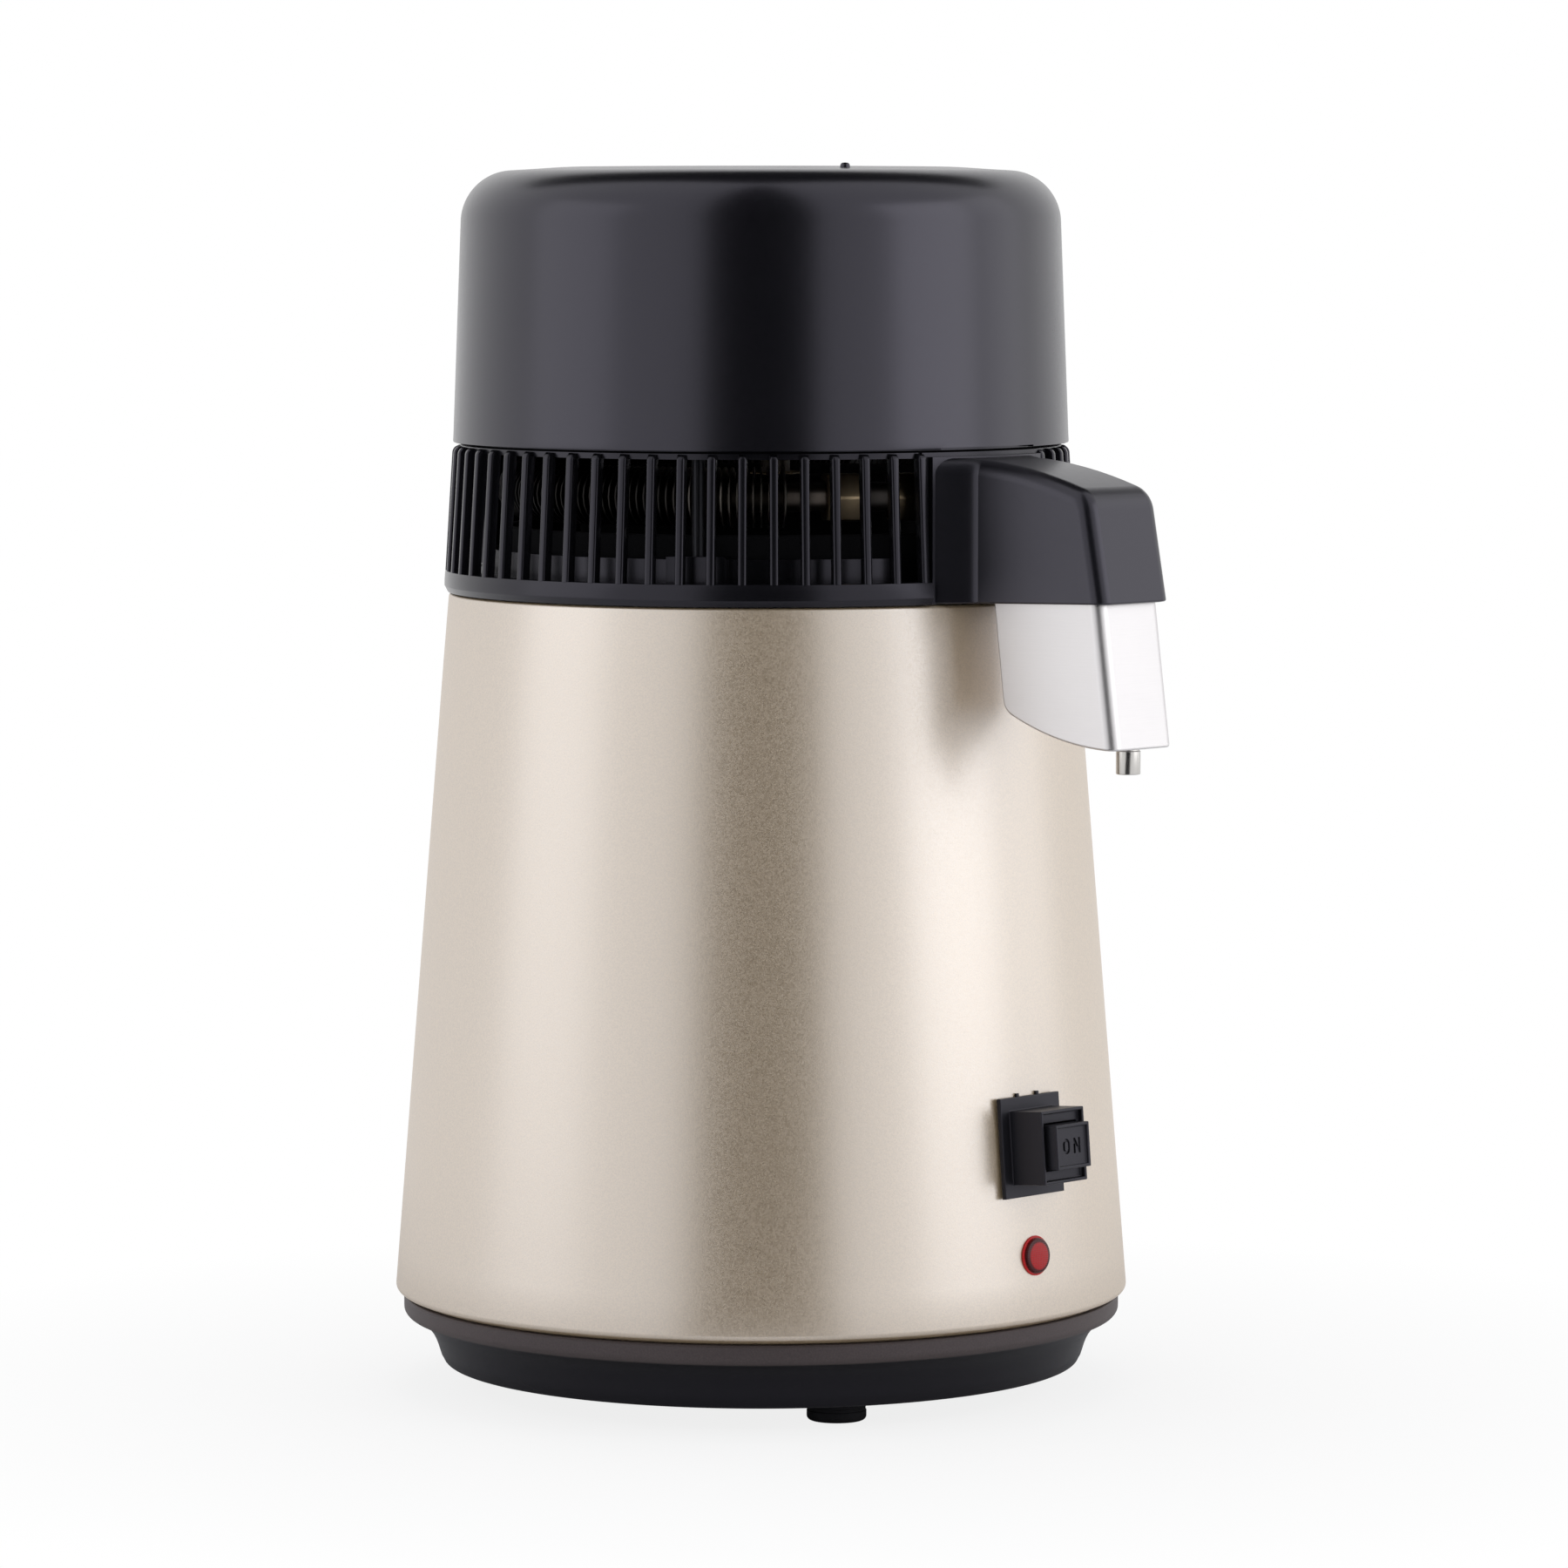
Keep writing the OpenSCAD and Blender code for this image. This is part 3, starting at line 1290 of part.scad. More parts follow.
// The condenser's centre line: lower turn, return bend, upper turn, then in and down to the riser
turn_steps = 48;
bend_steps = 6;
coil_end_a = coil_start_a + coil_upper_turn;
lower_turn = [for (i = [0 : turn_steps])
    polar(coil_r, outlet_a - coil_lower_turn * i / turn_steps, coil_z)];
return_bend = [for (i = [1 : bend_steps - 1]) let (b = 180 * i / bend_steps)
    turned([coil_r, -coil_rise / 2 * sin(b), coil_z + coil_rise / 2 * (1 - cos(b))], coil_start_a)];
upper_turn = [for (i = [0 : turn_steps])
    polar(coil_r, coil_start_a + coil_upper_turn * i / turn_steps, coil_top_z)];
inward_bend = [for (i = [1 : bend_steps]) let (b = 90 * i / bend_steps)
    turned([coil_r - coil_bend_r * (1 - cos(b)), coil_bend_r * sin(b), coil_top_z], coil_end_a)];
down_bend = [for (i = [0 : bend_steps]) let (b = 90 * i / bend_steps)
    turned([riser_r + coil_drop_r * (1 - sin(b)), coil_bend_r, coil_top_z - coil_drop_r * (1 - cos(b))],
        coil_end_a)];
coil_route = concat([turned([coil_r, coil_lead, coil_z], outlet_a)], lower_turn, return_bend, upper_turn,
    inward_bend, down_bend, [turned([riser_r, coil_bend_r, riser_top], coil_end_a)]);

module condenser_tube() {
    echo(condenser_least_gap = least_gap(coil_route, bend_steps + 2) - coil_tube_d);
    color("#b98a5e") at_axis() swept_tube(coil_route, coil_tube_d, 10);
}

module condenser_fins() {
    step_a = fin_pitch / coil_r * 180 / PI;
    color("#c3c4c6") at_axis() for (turn = [[coil_z, coil_lower_turn], [coil_top_z, coil_upper_turn]])
        for (a = [fin_margin_a : step_a : turn[1] - fin_margin_a])
            rotate([0, 0, coil_start_a + a]) translate([coil_r, 0, turn[0]]) rotate([90, 0, 0])
                sleeve(fin_d, coil_tube_d + slide_fit, fin_t);
}

module union_nuts() {
    color("#b08d57") at_axis() {
        rotate([0, 0, outlet_a]) for (y = [coil_lead - nut_len / 2, coil_lead + nut_gap - nut_len / 2])
            translate([coil_r, y, coil_z]) rotate([-90, 0, 0])
                hex_nut(nut_af, nut_len, coil_tube_d + 2 * close_fit);
        at_riser(riser_top - nut_len / 2) hex_nut(nut_af, nut_len, coil_tube_d + 2 * close_fit);
    }
}

// The outlet's centre line: on from the lower turn, round to the front, then down into the cup
outlet_straight = outlet_run - outlet_tangent;
outlet_level_r = outlet_r - outlet_drop_r;
outlet_route = concat([turned([coil_r, coil_lead, coil_z], outlet_a)],
    [for (i = [0 : bend_steps]) let (b = outlet_turn * i / bend_steps)
        turned([coil_r + outlet_bend_r * (1 - cos(b)), outlet_straight + outlet_bend_r * sin(b), coil_z],
            outlet_a)],
    [for (i = [0 : bend_steps]) let (b = 90 * i / bend_steps)
        [0, -outlet_level_r - outlet_drop_r * sin(b), coil_z - outlet_drop_r * (1 - cos(b))]],
    [[0, -outlet_r, outlet_end_z]]);

module outlet_tube() {
    color("#c9c2b6") at_axis() swept_tube(outlet_route, coil_tube_d, 10);
}

module steam_riser() {
    base_z = floor_z + dome_h;
    tail = 2;
    wall = 1;
    color("#c6c8ca") at_axis() at_riser(0) {
        translate([0, 0, base_z - cover_sheet - tail])
            sleeve(coil_tube_d, coil_tube_d - 2 * wall, riser_top - base_z + cover_sheet + tail);
        translate([0, 0, base_z]) sleeve(riser_flange_d, coil_tube_d - 2 * wall, riser_flange_t);
    }
}

// Black felt that keeps the heat down: a block on the dome, cut out round the riser and its nut, and
// a strip that stands on the floor inside the low wall
module felt_pad() {
    color("#232326") at_axis() {
        difference() {
            translate([0, 0, pad_z]) cylinder(r = dome_top_r - pad_inset, h = pad_h);
            at_riser(pad_z - over) cylinder(d = riser_flange_d + 2 * pad_clear, h = pad_h + 2 * over);
        }
        translate([0, 0, floor_top]) sleeve(2 * strip_out_r, 2 * (strip_out_r - strip_t), strip_h);
    }
}

// Filter cup

function cup_side(inset, top) =
    let (front_n = [cos(cup_front_lean), sin(cup_front_lean)],
        back_n = [-cos(cup_back_lean), -sin(cup_back_lean)],
        front = front_n * [cup_front_r, hood_z] - inset,
        back = back_n * [cup_back_r, hood_z] - inset,
        arc_r = cup_bottom_r - inset,
        front_a = cup_front_lean - acos((front - front_n * cup_bottom_c) / arc_r),
        back_a = 180 + cup_back_lean + acos((back - back_n * cup_bottom_c) / arc_r) - 360)
    concat([[(back - back_n[1] * top) / back_n[0], top]],
        arc(cup_bottom_c, arc_r, back_a, front_a, 9),
        [[(front - front_n[1] * top) / front_n[0], top]]);

module filter_cup() {
    color("#d3d3d5") difference() {
        side_slab(cup_side(0, cup_top_z), 2 * cup_half_w);
        side_slab(cup_side(cup_wall, cup_top_z + over), 2 * (cup_half_w - cup_wall));
        at_axis() translate([0, -nozzle_r, nozzle_z])
            cylinder(d = nozzle_neck_d + close_fit, h = nozzle_len * 2);
    }
}

module drip_nozzle() {
    neck_top = nozzle_len + cup_wall + nozzle_stub;
    shoulder = nozzle_len - nozzle_neck;
    color("#cfcfd1") at_axis() translate([0, -nozzle_r, nozzle_z]) rotate_extrude()
        polygon([[nozzle_bore_d / 2, 0], [nozzle_d / 2, 0], [nozzle_d / 2, shoulder],
            [nozzle_neck_d / 2, shoulder], [nozzle_neck_d / 2, neck_top], [nozzle_bore_d / 2, neck_top]]);
}

base_pan();
rubber_feet();
foot_screws();
outer_housing();
boiling_tank();
tank_studs();
stud_nuts();
heat_spreader();
heating_element();
element_terminals();
thermal_cutout();
heat_shield();
shield_spacers();
switch_housing();
switch_block();
switch_terminals();
return_spring();
on_button();
lamp_lens();
lamp_holder();
lamp_nut();
mains_inlet();
inlet_pins();
fan_socket();
socket_pins();
wiring_loom();
steam_cover();
cover_gasket();
head_floor();
slotted_ring();
spout_hood();
hood_screws();
fan_cap();
finger_guard();
fan_frame();
fan_motor();
fan_bearings();
fan_screws();
fan_impeller();
fan_shaft();
tie_rods();
rod_nuts();
condenser_tube();
condenser_fins();
union_nuts();
outlet_tube();
steam_riser();
felt_pad();
cord_gland();
filter_cup();
drip_nozzle();
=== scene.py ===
# %% [markdown]
# # Dressing a countertop water distiller
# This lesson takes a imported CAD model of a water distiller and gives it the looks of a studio
# photograph. The CAD model is the fixed frame: it says where every piece is and how it moves. We
# model smooth pieces over it where a curve or a soft edge has to catch the light, and we write a
# finish for every surface. Everything is in metres, as the frame is, and the sizes are typed in
# millimetres and multiplied once, because that is how a maker would read them off a drawing.

# %% Load the frame
import math

import bmesh
import bpy
from mathutils import Matrix, Vector


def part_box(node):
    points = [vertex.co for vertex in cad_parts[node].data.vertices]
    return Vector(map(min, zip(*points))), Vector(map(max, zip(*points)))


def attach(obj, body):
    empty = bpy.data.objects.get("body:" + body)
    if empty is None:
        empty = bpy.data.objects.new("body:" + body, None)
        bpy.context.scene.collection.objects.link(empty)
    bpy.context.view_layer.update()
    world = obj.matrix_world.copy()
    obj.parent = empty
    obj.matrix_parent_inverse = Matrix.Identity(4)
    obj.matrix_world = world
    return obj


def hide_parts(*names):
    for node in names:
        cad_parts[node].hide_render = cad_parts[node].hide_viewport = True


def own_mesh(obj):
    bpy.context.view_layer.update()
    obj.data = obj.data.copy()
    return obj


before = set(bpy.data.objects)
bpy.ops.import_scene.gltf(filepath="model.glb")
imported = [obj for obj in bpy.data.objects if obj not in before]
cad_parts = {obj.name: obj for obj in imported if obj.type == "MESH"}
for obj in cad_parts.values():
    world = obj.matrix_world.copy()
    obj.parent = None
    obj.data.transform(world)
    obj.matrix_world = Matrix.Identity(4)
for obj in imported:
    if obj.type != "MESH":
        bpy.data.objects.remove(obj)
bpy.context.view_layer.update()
MM = 0.001
housing_low, housing_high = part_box("outer_housing")
AXIS_Y = (housing_low.y + housing_high.y) / 2
AXIS = Matrix.Translation((0, AXIS_Y, 0))
print("nodes", len(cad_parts), "axis at y", round(AXIS_Y, 5))

# %% [markdown]
# ## The camera
# The photograph was taken with a long lens from a little above the middle of the object, and the
# front of the distiller points about 47 degrees to the right of the camera. A long lens far away
# keeps the ellipses of the rings flat. The distance, height and lens below were found by fitting
# five circles of the object, so the camera is typed in as numbers rather than aimed by eye.

# %% Place the camera
PHOTO_TURN = math.radians(-47.5)
CAMERA_AWAY, CAMERA_UP, CAMERA_ASIDE, CAMERA_DIP = 2.174, 0.3603, 0.00708, 4.596
toward_camera = Vector((math.sin(PHOTO_TURN), -math.cos(PHOTO_TURN), 0))
camera_right = Vector((math.cos(PHOTO_TURN), math.sin(PHOTO_TURN), 0))


def in_scene(name, data):
    made = bpy.data.objects.new(name, data)
    bpy.context.scene.collection.objects.link(made)
    return made


lens = bpy.data.cameras.new("photo_camera")
lens.lens = 162.34
lens.sensor_width = 36.0
lens.sensor_fit = "HORIZONTAL"
lens.clip_end = 50.0
camera = in_scene("photo_camera", lens)
camera.location = Vector((0, AXIS_Y, CAMERA_UP)) + CAMERA_AWAY * toward_camera + CAMERA_ASIDE * camera_right
camera.rotation_euler = (math.radians(90 - CAMERA_DIP), 0, PHOTO_TURN)
bpy.context.scene.camera = camera
bpy.context.scene.view_settings.view_transform = "Standard"
print("camera at", [round(c, 3) for c in camera.location])

# %% [markdown]
# ## Shader sums in Python
# Finishes are made of small sums: a grain, times a strength, plus a tone. Wiring each Math node by
# hand hides the sum, so one small class wraps a socket and lets Python's own operators add the
# nodes. `maths` makes the sums that have no operator, `output` picks another socket of the same node,
# and `node` makes every other kind of node: the settings go in first, because some of them decide
# which sockets exist, and then values or links go into the sockets.

# %% The socket wrapper
class Wire:
    """A socket of a node tree that can be added, multiplied and plugged in."""

    def __init__(self, tree, socket=None):
        self.tree = tree
        self.socket = socket

    def node(self, kind, settings=None, sockets=None, out=0):
        made = self.tree.nodes.new(kind)
        for name, value in (settings or {}).items():
            setattr(made, name, value)
        for key, value in (sockets or {}).items():
            if isinstance(value, Wire):
                self.tree.links.new(value.socket, made.inputs[key])
            else:
                made.inputs[key].default_value = value
        return Wire(self.tree, made.outputs[out] if made.outputs else None)

    def output(self, name):
        return Wire(self.tree, self.socket.node.outputs[name])

    def maths(self, operation, first, second=0.0):
        return self.node("ShaderNodeMath", {"operation": operation}, {0: first, 1: second})

    def __add__(self, other):
        return self.maths("ADD", self, other)

    def __radd__(self, other):
        return self.maths("ADD", other, self)

    def __sub__(self, other):
        return self.maths("SUBTRACT", self, other)

    def __rsub__(self, other):
        return self.maths("SUBTRACT", other, self)

    def __mul__(self, other):
        return self.maths("MULTIPLY", self, other)

    def __rmul__(self, other):
        return self.maths("MULTIPLY", other, self)


print("operators ready:", [n for n in dir(Wire) if n in ("__add__", "__sub__", "__mul__")])

# %% [markdown]
# ## Parts that every finish shares
# A finish starts as an empty node tree with a Principled shader. The patterns read Object
# coordinates, so a pattern is as large on the object as the number says, in metres. `grain` is a
# noise of a given size, `stretch` is the same noise drawn out along one direction, as a brush or a
# polishing belt leaves it. `blend` mixes two colour sockets and `tone` two plain colours, and `eased`
# goes softly from nought to one between two lengths.

# %% Helpers for finishes
def start_finish(name):
    material = bpy.data.materials.new(name)
    material.use_nodes = True
    material.node_tree.nodes.clear()
    return material, Wire(material.node_tree)


def object_place(wire):
    return wire.node("ShaderNodeTexCoord", out="Object")


def grain(wire, size_mm, detail=2.0, seed=0.0):
    shifted = wire.node("ShaderNodeMapping", None,
                        {"Vector": object_place(wire), "Location": (seed, seed, seed)})
    return wire.node("ShaderNodeTexNoise", None,
                     {"Vector": shifted, "Scale": 1 / (size_mm * MM), "Detail": detail, "Roughness": 0.55})


def stretch(wire, sizes_mm, detail=3.0):
    scaled = wire.node("ShaderNodeMapping", None,
                       {"Vector": object_place(wire), "Scale": [1 / (size * MM) for size in sizes_mm]})
    return wire.node("ShaderNodeTexNoise", None, {"Vector": scaled, "Scale": 1.0, "Detail": detail})


def blend(wire, factor, first, second):
    return wire.node("ShaderNodeMix", {"data_type": "RGBA"}, {0: factor, 6: first, 7: second}, out=2)


def tone(wire, factor, first, second):
    return blend(wire, factor, (*first, 1.0), (*second, 1.0))


def eased(wire, value, low_mm, high_mm):
    return wire.node("ShaderNodeMapRange", {"interpolation_type": "SMOOTHSTEP"},
                     {"Value": value, "From Min": low_mm * MM, "From Max": high_mm * MM})


def relief(wire, height, depth_mm, strength=1.0):
    return wire.node("ShaderNodeBump", None,
                     {"Height": height, "Distance": depth_mm * MM, "Strength": strength})


def end_finish(material, wire, **sockets):
    shader = wire.node("ShaderNodeBsdfPrincipled", None,
                       {name.replace("_", " "): value for name, value in sockets.items()})
    wire.node("ShaderNodeOutputMaterial", None, {"Surface": shader})
    print("finish", material.name, len(material.node_tree.nodes), "nodes")
    return material


def shade(colour, share):
    return tuple(min(1.0, c * share) for c in colour)


# %% [markdown]
# ## Champagne paint
# The housing is sheet steel with a champagne metallic paint: tiny aluminium flakes in a clear, warm
# binder. The binder gives the warm colour, which shows best where nothing bright is reflected, and
# the flakes give a broad, paler gloss, so the paint pales towards the lights. A high index of
# refraction stands for that gloss. Up close the flakes are a sparkle of cells that each lie at their
# own angle: Voronoi cells of about a third of a millimetre give each flake its brightness and tilt.

# %% Make the paint
FLAKE_SHEEN = (0.92, 0.89, 0.885, 1.0)
FLAKE_IOR, FLAKES_A_METRE = 2.95, 2600.0


def champagne_paint():
    material, wire = start_finish("champagne_paint")
    flake_place = wire.node("ShaderNodeMapping", None,
                            {"Vector": object_place(wire), "Scale": [FLAKES_A_METRE] * 3})
    flake = wire.node("ShaderNodeTexVoronoi", None, {"Vector": flake_place, "Scale": 1.0}, out="Color")
    glint = wire.node("ShaderNodeSeparateColor", None, {"Color": flake})
    cloud = grain(wire, 60.0, 3.0)
    colour = tone(wire, glint * 0.75 + cloud * 0.25, (0.420, 0.305, 0.170), (0.610, 0.460, 0.280))
    return end_finish(material, wire, Base_Color=colour, IOR=FLAKE_IOR, Specular_IOR_Level=1.0,
                      Specular_Tint=FLAKE_SHEEN, Roughness=0.27 + glint * 0.08 + cloud * 0.03,
                      Coat_Weight=0.3, Coat_Roughness=0.25,
                      Normal=relief(wire, glint + grain(wire, 0.5) * 0.6, 0.012, 0.55))


PAINT = champagne_paint()

# %% [markdown]
# ## Moulded plastics
# The cap, the ring, the spout hood, the base and the switch are injection moulded. A mould leaves a
# fine spark-eroded grain on satin parts and a smoother skin on glossy ones, with slow changes of
# gloss where the plastic flowed. One recipe makes all of them, and each part has its own colour,
# gloss and grain.

# %% Make the plastics
COOL_SHEEN = (0.86, 0.83, 1.0, 1.0)


def moulded(name, colour, gloss, grain_mm, depth_mm, specular=0.5):
    material, wire = start_finish(name)
    flow = grain(wire, 45.0, 3.0)
    skin = grain(wire, grain_mm, 2.0)
    dust = grain(wire, 2.2, 4.0, 3.7)
    base = tone(wire, flow * 0.6 + skin * 0.4, shade(colour, 0.8), shade(colour, 1.25))
    return end_finish(material, wire, Base_Color=base,
                      Roughness=gloss - 0.05 + flow * 0.06 + dust * 0.05, Specular_IOR_Level=specular,
                      Specular_Tint=COOL_SHEEN,
                      Normal=relief(wire, skin + dust * 0.35, depth_mm, 0.6))


CAP_PLASTIC = moulded("cap_plastic", (0.0034, 0.0034, 0.0046), 0.25, 0.35, 0.006, 0.72)
HOOD_PLASTIC = moulded("hood_plastic", (0.0044, 0.0044, 0.0060), 0.29, 0.35, 0.010, 0.68)
RING_PLASTIC = moulded("ring_plastic", (0.0040, 0.0040, 0.0052), 0.24, 0.6, 0.005, 0.45)
SWITCH_PLASTIC = moulded("switch_plastic", (0.0080, 0.0080, 0.0098), 0.44, 0.25, 0.012, 0.45)
SOCKET_PLASTIC = moulded("socket_plastic", (0.0120, 0.0120, 0.0135), 0.45, 0.3, 0.010)
CREAM_PLASTIC = moulded("cream_plastic", (0.690, 0.640, 0.540), 0.42, 0.5, 0.010)
FOOT_RUBBER = moulded("foot_rubber", (0.0110, 0.0110, 0.0110), 0.70, 0.5, 0.020, 0.3)
SEAL_SILICONE = moulded("seal_silicone", (0.750, 0.730, 0.690), 0.50, 0.8, 0.008, 0.4)
# Painted shade: the felt is a black sheet that stands in for the shade inside the head.
SHADE_FELT = moulded("black_felt", (0.0060, 0.0060, 0.0064), 0.95, 0.30, 0.120, 0.1)
WIRE_JACKET = moulded("wire_jacket", (0.160, 0.070, 0.030), 0.45, 0.6, 0.008)

# %% [markdown]
# ## The base pan's plastic
# The pan has two finishes from one mould. The band under the housing is spark-eroded, so it is paler
# and brownish with a coarse grain. The flare below the crease is polished, and its colour is painted
# near black as a painted shade, as it faces down to the floor. The height on the object tells the two
# apart, with a narrow blend at the crease.

# %% Make the base plastic
CREASE_Z, CREASE_BLEND = 21.6, 0.8


def base_plastic():
    material, wire = start_finish("base_plastic")
    height = wire.node("ShaderNodeSeparateXYZ", None, {"Vector": object_place(wire)}, out="Z")
    eroded = eased(wire, height, CREASE_Z, CREASE_Z + CREASE_BLEND)
    spark = grain(wire, 0.55, 3.0)
    flow = grain(wire, 40.0, 3.0, 2.1)
    band = tone(wire, spark * 0.7 + flow * 0.3, (0.0380, 0.0290, 0.0275), (0.1050, 0.0840, 0.0780))
    # Painted shade: the downward-facing flare is painted near black.
    shaded_flare = tone(wire, flow, (0.0024, 0.0022, 0.0026), (0.0042, 0.0038, 0.0044))
    return end_finish(material, wire, Base_Color=blend(wire, eroded, shaded_flare, band),
                      Roughness=0.42 + eroded * 0.08 + flow * 0.05,
                      Specular_IOR_Level=0.4, Specular_Tint=COOL_SHEEN,
                      Normal=relief(wire, spark * (0.25 + eroded * 0.75), 0.022, 0.6))


BASE_PLASTIC = base_plastic()

# %% [markdown]
# ## Bare metals
# The cup and the tank are brushed stainless sheet, the spreader and the heat shield are aluminium, the
# union nuts are brass and the screws are zinc plated. The tubes in the head are painted dark, a painted
# shade for the little light inside the head. Brushing is a noise that is stretched along the brush's
# way: it changes the roughness and lifts a very fine relief. Cast and drawn metals use a rounder grain.
# A slow cloud keeps large faces from looking like plain paint.

# %% Make the metals
def metal(name, colour, gloss, sizes_mm, depth_mm=0.004, spread=0.16, stain=0.85):
    material, wire = start_finish(name)
    brush = stretch(wire, sizes_mm)
    cloud = grain(wire, 18.0, 4.0, 1.3)
    base = tone(wire, brush * 0.55 + cloud * 0.45, shade(colour, stain), shade(colour, 1.06))
    return end_finish(material, wire, Base_Color=base, Metallic=1.0,
                      Roughness=gloss - spread / 2 + brush * spread + cloud * 0.05,
                      Normal=relief(wire, brush, depth_mm, 0.5))


BRUSHED_STEEL = metal("brushed_steel", (0.700, 0.685, 0.695), 0.37, (9.0, 9.0, 0.16), 0.006, 0.14, 0.90)
TANK_STEEL = metal("stainless", (0.560, 0.560, 0.566), 0.26, (40.0, 40.0, 0.22))
TUBE_STEEL = metal("tube_steel", (0.600, 0.585, 0.565), 0.20, (0.3, 0.3, 6.0))
ZINC_STEEL = metal("zinc_steel", (0.560, 0.570, 0.590), 0.34, (0.5, 0.5, 0.5))
ALUMINIUM = metal("aluminium", (0.660, 0.670, 0.690), 0.36, (0.4, 0.4, 3.0))
BRASS = metal("brass", (0.400, 0.310, 0.200), 0.34, (0.4, 0.4, 4.0))
# Painted shade: the condenser and outlet tubes are darkened in colour for the dim inside of the head.
SHADED_COPPER_TUBE = metal("copper_tube", (0.115, 0.098, 0.086), 0.36, (0.5, 0.5, 5.0))
ELEMENT_STEEL = metal("element_steel", (0.210, 0.195, 0.185), 0.46, (0.8, 0.8, 0.8))
SHADED_OUTLET_STEEL = metal("outlet_steel", (0.062, 0.056, 0.053), 0.42, (0.5, 0.5, 5.0))
ROD_STEEL = metal("rod_steel", (0.045, 0.045, 0.052), 0.36, (0.6, 0.6, 8.0))
COPPER_WINDING = metal("copper_winding", (0.560, 0.290, 0.120), 0.34, (6.0, 6.0, 0.35), 0.06)

# %% [markdown]
# ## The red lens
# The pilot lamp is a clear red moulding: a bright flange, a side and an outer ring that look nearly
# black because they see into the holder, and a middle with tiny prisms that spread the light of the
# bulb. The near black of the side and the ring is a painted shade, and the prisms lighten and darken
# the red as painted highlights. The prisms are a grid of ridges across x and up z, because the lamp
# faces the front. The lens is closed behind, so a deep red reads as the real piece does, and needs no
# glass.

# %% Make the lens finish
LAMP_Z = 50.0
PRISM_PITCH = 5200.0
# Radii in millimetres of the hatched middle and of the ring that is painted near black as shade.
HATCH, SHADED_RING_EDGE = (4.4, 3.7), (5.45, 5.25)


def red_lens():
    material, wire = start_finish("red_lens")
    side = wire.node("ShaderNodeSeparateXYZ", None, {"Vector": object_place(wire)}, out="X")
    height = side.output("Z")
    across = wire.maths("SINE", (side + height) * PRISM_PITCH)
    along = wire.maths("SINE", (side - height) * PRISM_PITCH)
    prism = across * along * 0.5 + 0.5
    lift = height - LAMP_Z * MM
    reach = wire.maths("SQRT", side * side + lift * lift)
    hatched = eased(wire, reach, *HATCH)
    shaded_ring = eased(wire, reach, *SHADED_RING_EDGE) - hatched
    # Painted highlights and shade: the prisms lighten and darken the red, and the ring is painted near
    # black.
    body = tone(wire, prism * hatched, (0.560, 0.010, 0.012), (0.300, 0.006, 0.012))
    colour = blend(wire, shaded_ring * 0.95, body, (0.030, 0.003, 0.005, 1.0))
    return end_finish(material, wire, Base_Color=colour, Roughness=0.22 + prism * 0.12,
                      Specular_IOR_Level=0.3, Normal=relief(wire, prism * hatched, 0.10, 0.5))


RED_LENS = red_lens()

# %% [markdown]
# ## Turning a piece on a lathe
# Most of this object is round, and a round piece is a profile that is spun about an axis. The
# profile is a list of corners as radius and height; `parts` splits a length or a turn into even
# steps, and `bend` puts the points of an arc into the profile. A full spin merges its last step with
# its first, and after that the doubles on the axis are merged and the normals are made to point
# outwards. `about_axis` is the place at a turn, a radius and a height.

# %% Lathe helpers
def parts(total, steps):
    return [total * i / steps for i in range(steps + 1)]


def bend(centre_r, centre_z, radius, start, end, steps=8):
    angles = [math.radians(start + part) for part in parts(end - start, steps)]
    return [(centre_r + radius * math.cos(a), centre_z + radius * math.sin(a)) for a in angles]


def fill_ends(bm):
    bmesh.ops.holes_fill(bm, edges=[e for e in bm.edges if e.is_boundary], sides=0)


def faced_out(bm):
    bmesh.ops.recalc_face_normals(bm, faces=bm.faces)
    return bm


def lathe(profile, steps=128, sweep=360.0, start=0.0, closed=False):
    bm = bmesh.new()
    turn = math.radians(start)
    corners = [bm.verts.new((r * MM * math.cos(turn), r * MM * math.sin(turn), z * MM)) for r, z in profile]
    line = [bm.edges.new(pair) for pair in zip(corners, corners[1:])]
    if closed:
        line.append(bm.edges.new((corners[-1], corners[0])))
    bmesh.ops.spin(bm, geom=corners + line, cent=(0, 0, 0), axis=(0, 0, 1), angle=math.radians(sweep),
                   steps=steps, use_merge=sweep == 360.0, use_duplicate=False)
    bmesh.ops.remove_doubles(bm, verts=bm.verts, dist=1e-7)
    if sweep != 360.0 and closed:
        fill_ends(bm)
    return faced_out(bm)


def moved(bm, matrix):
    bmesh.ops.transform(bm, matrix=matrix, verts=bm.verts)
    return bm


def about_axis(degrees, r, z):
    return AXIS @ Matrix.Rotation(math.radians(degrees), 4, "Z") @ Matrix.Translation((r * MM, 0, z * MM))


def as_mesh(bm, name):
    mesh = bpy.data.meshes.new(name)
    bm.to_mesh(mesh)
    bm.free()
    return mesh


def joined(*meshes):
    whole = bmesh.new()
    for bm in meshes:
        part = as_mesh(bm, "part")
        whole.from_mesh(part)
        bpy.data.meshes.remove(part)
    return whole


# %% [markdown]
# ## Putting a piece on the object
# A finished mesh becomes an object at the origin, so that its place is in its mesh, as a CAD node's
# is. Faces are shaded smooth and edges sharper than a given angle are marked, which keeps a lathe
# piece round and its corners crisp. Where small bevels meet large flat faces, `even` weighs the
# normals by face size, so that the flats stay flat. The piece then rides on a body of the frame,
# takes the place of its CAD nodes and gets its finish.

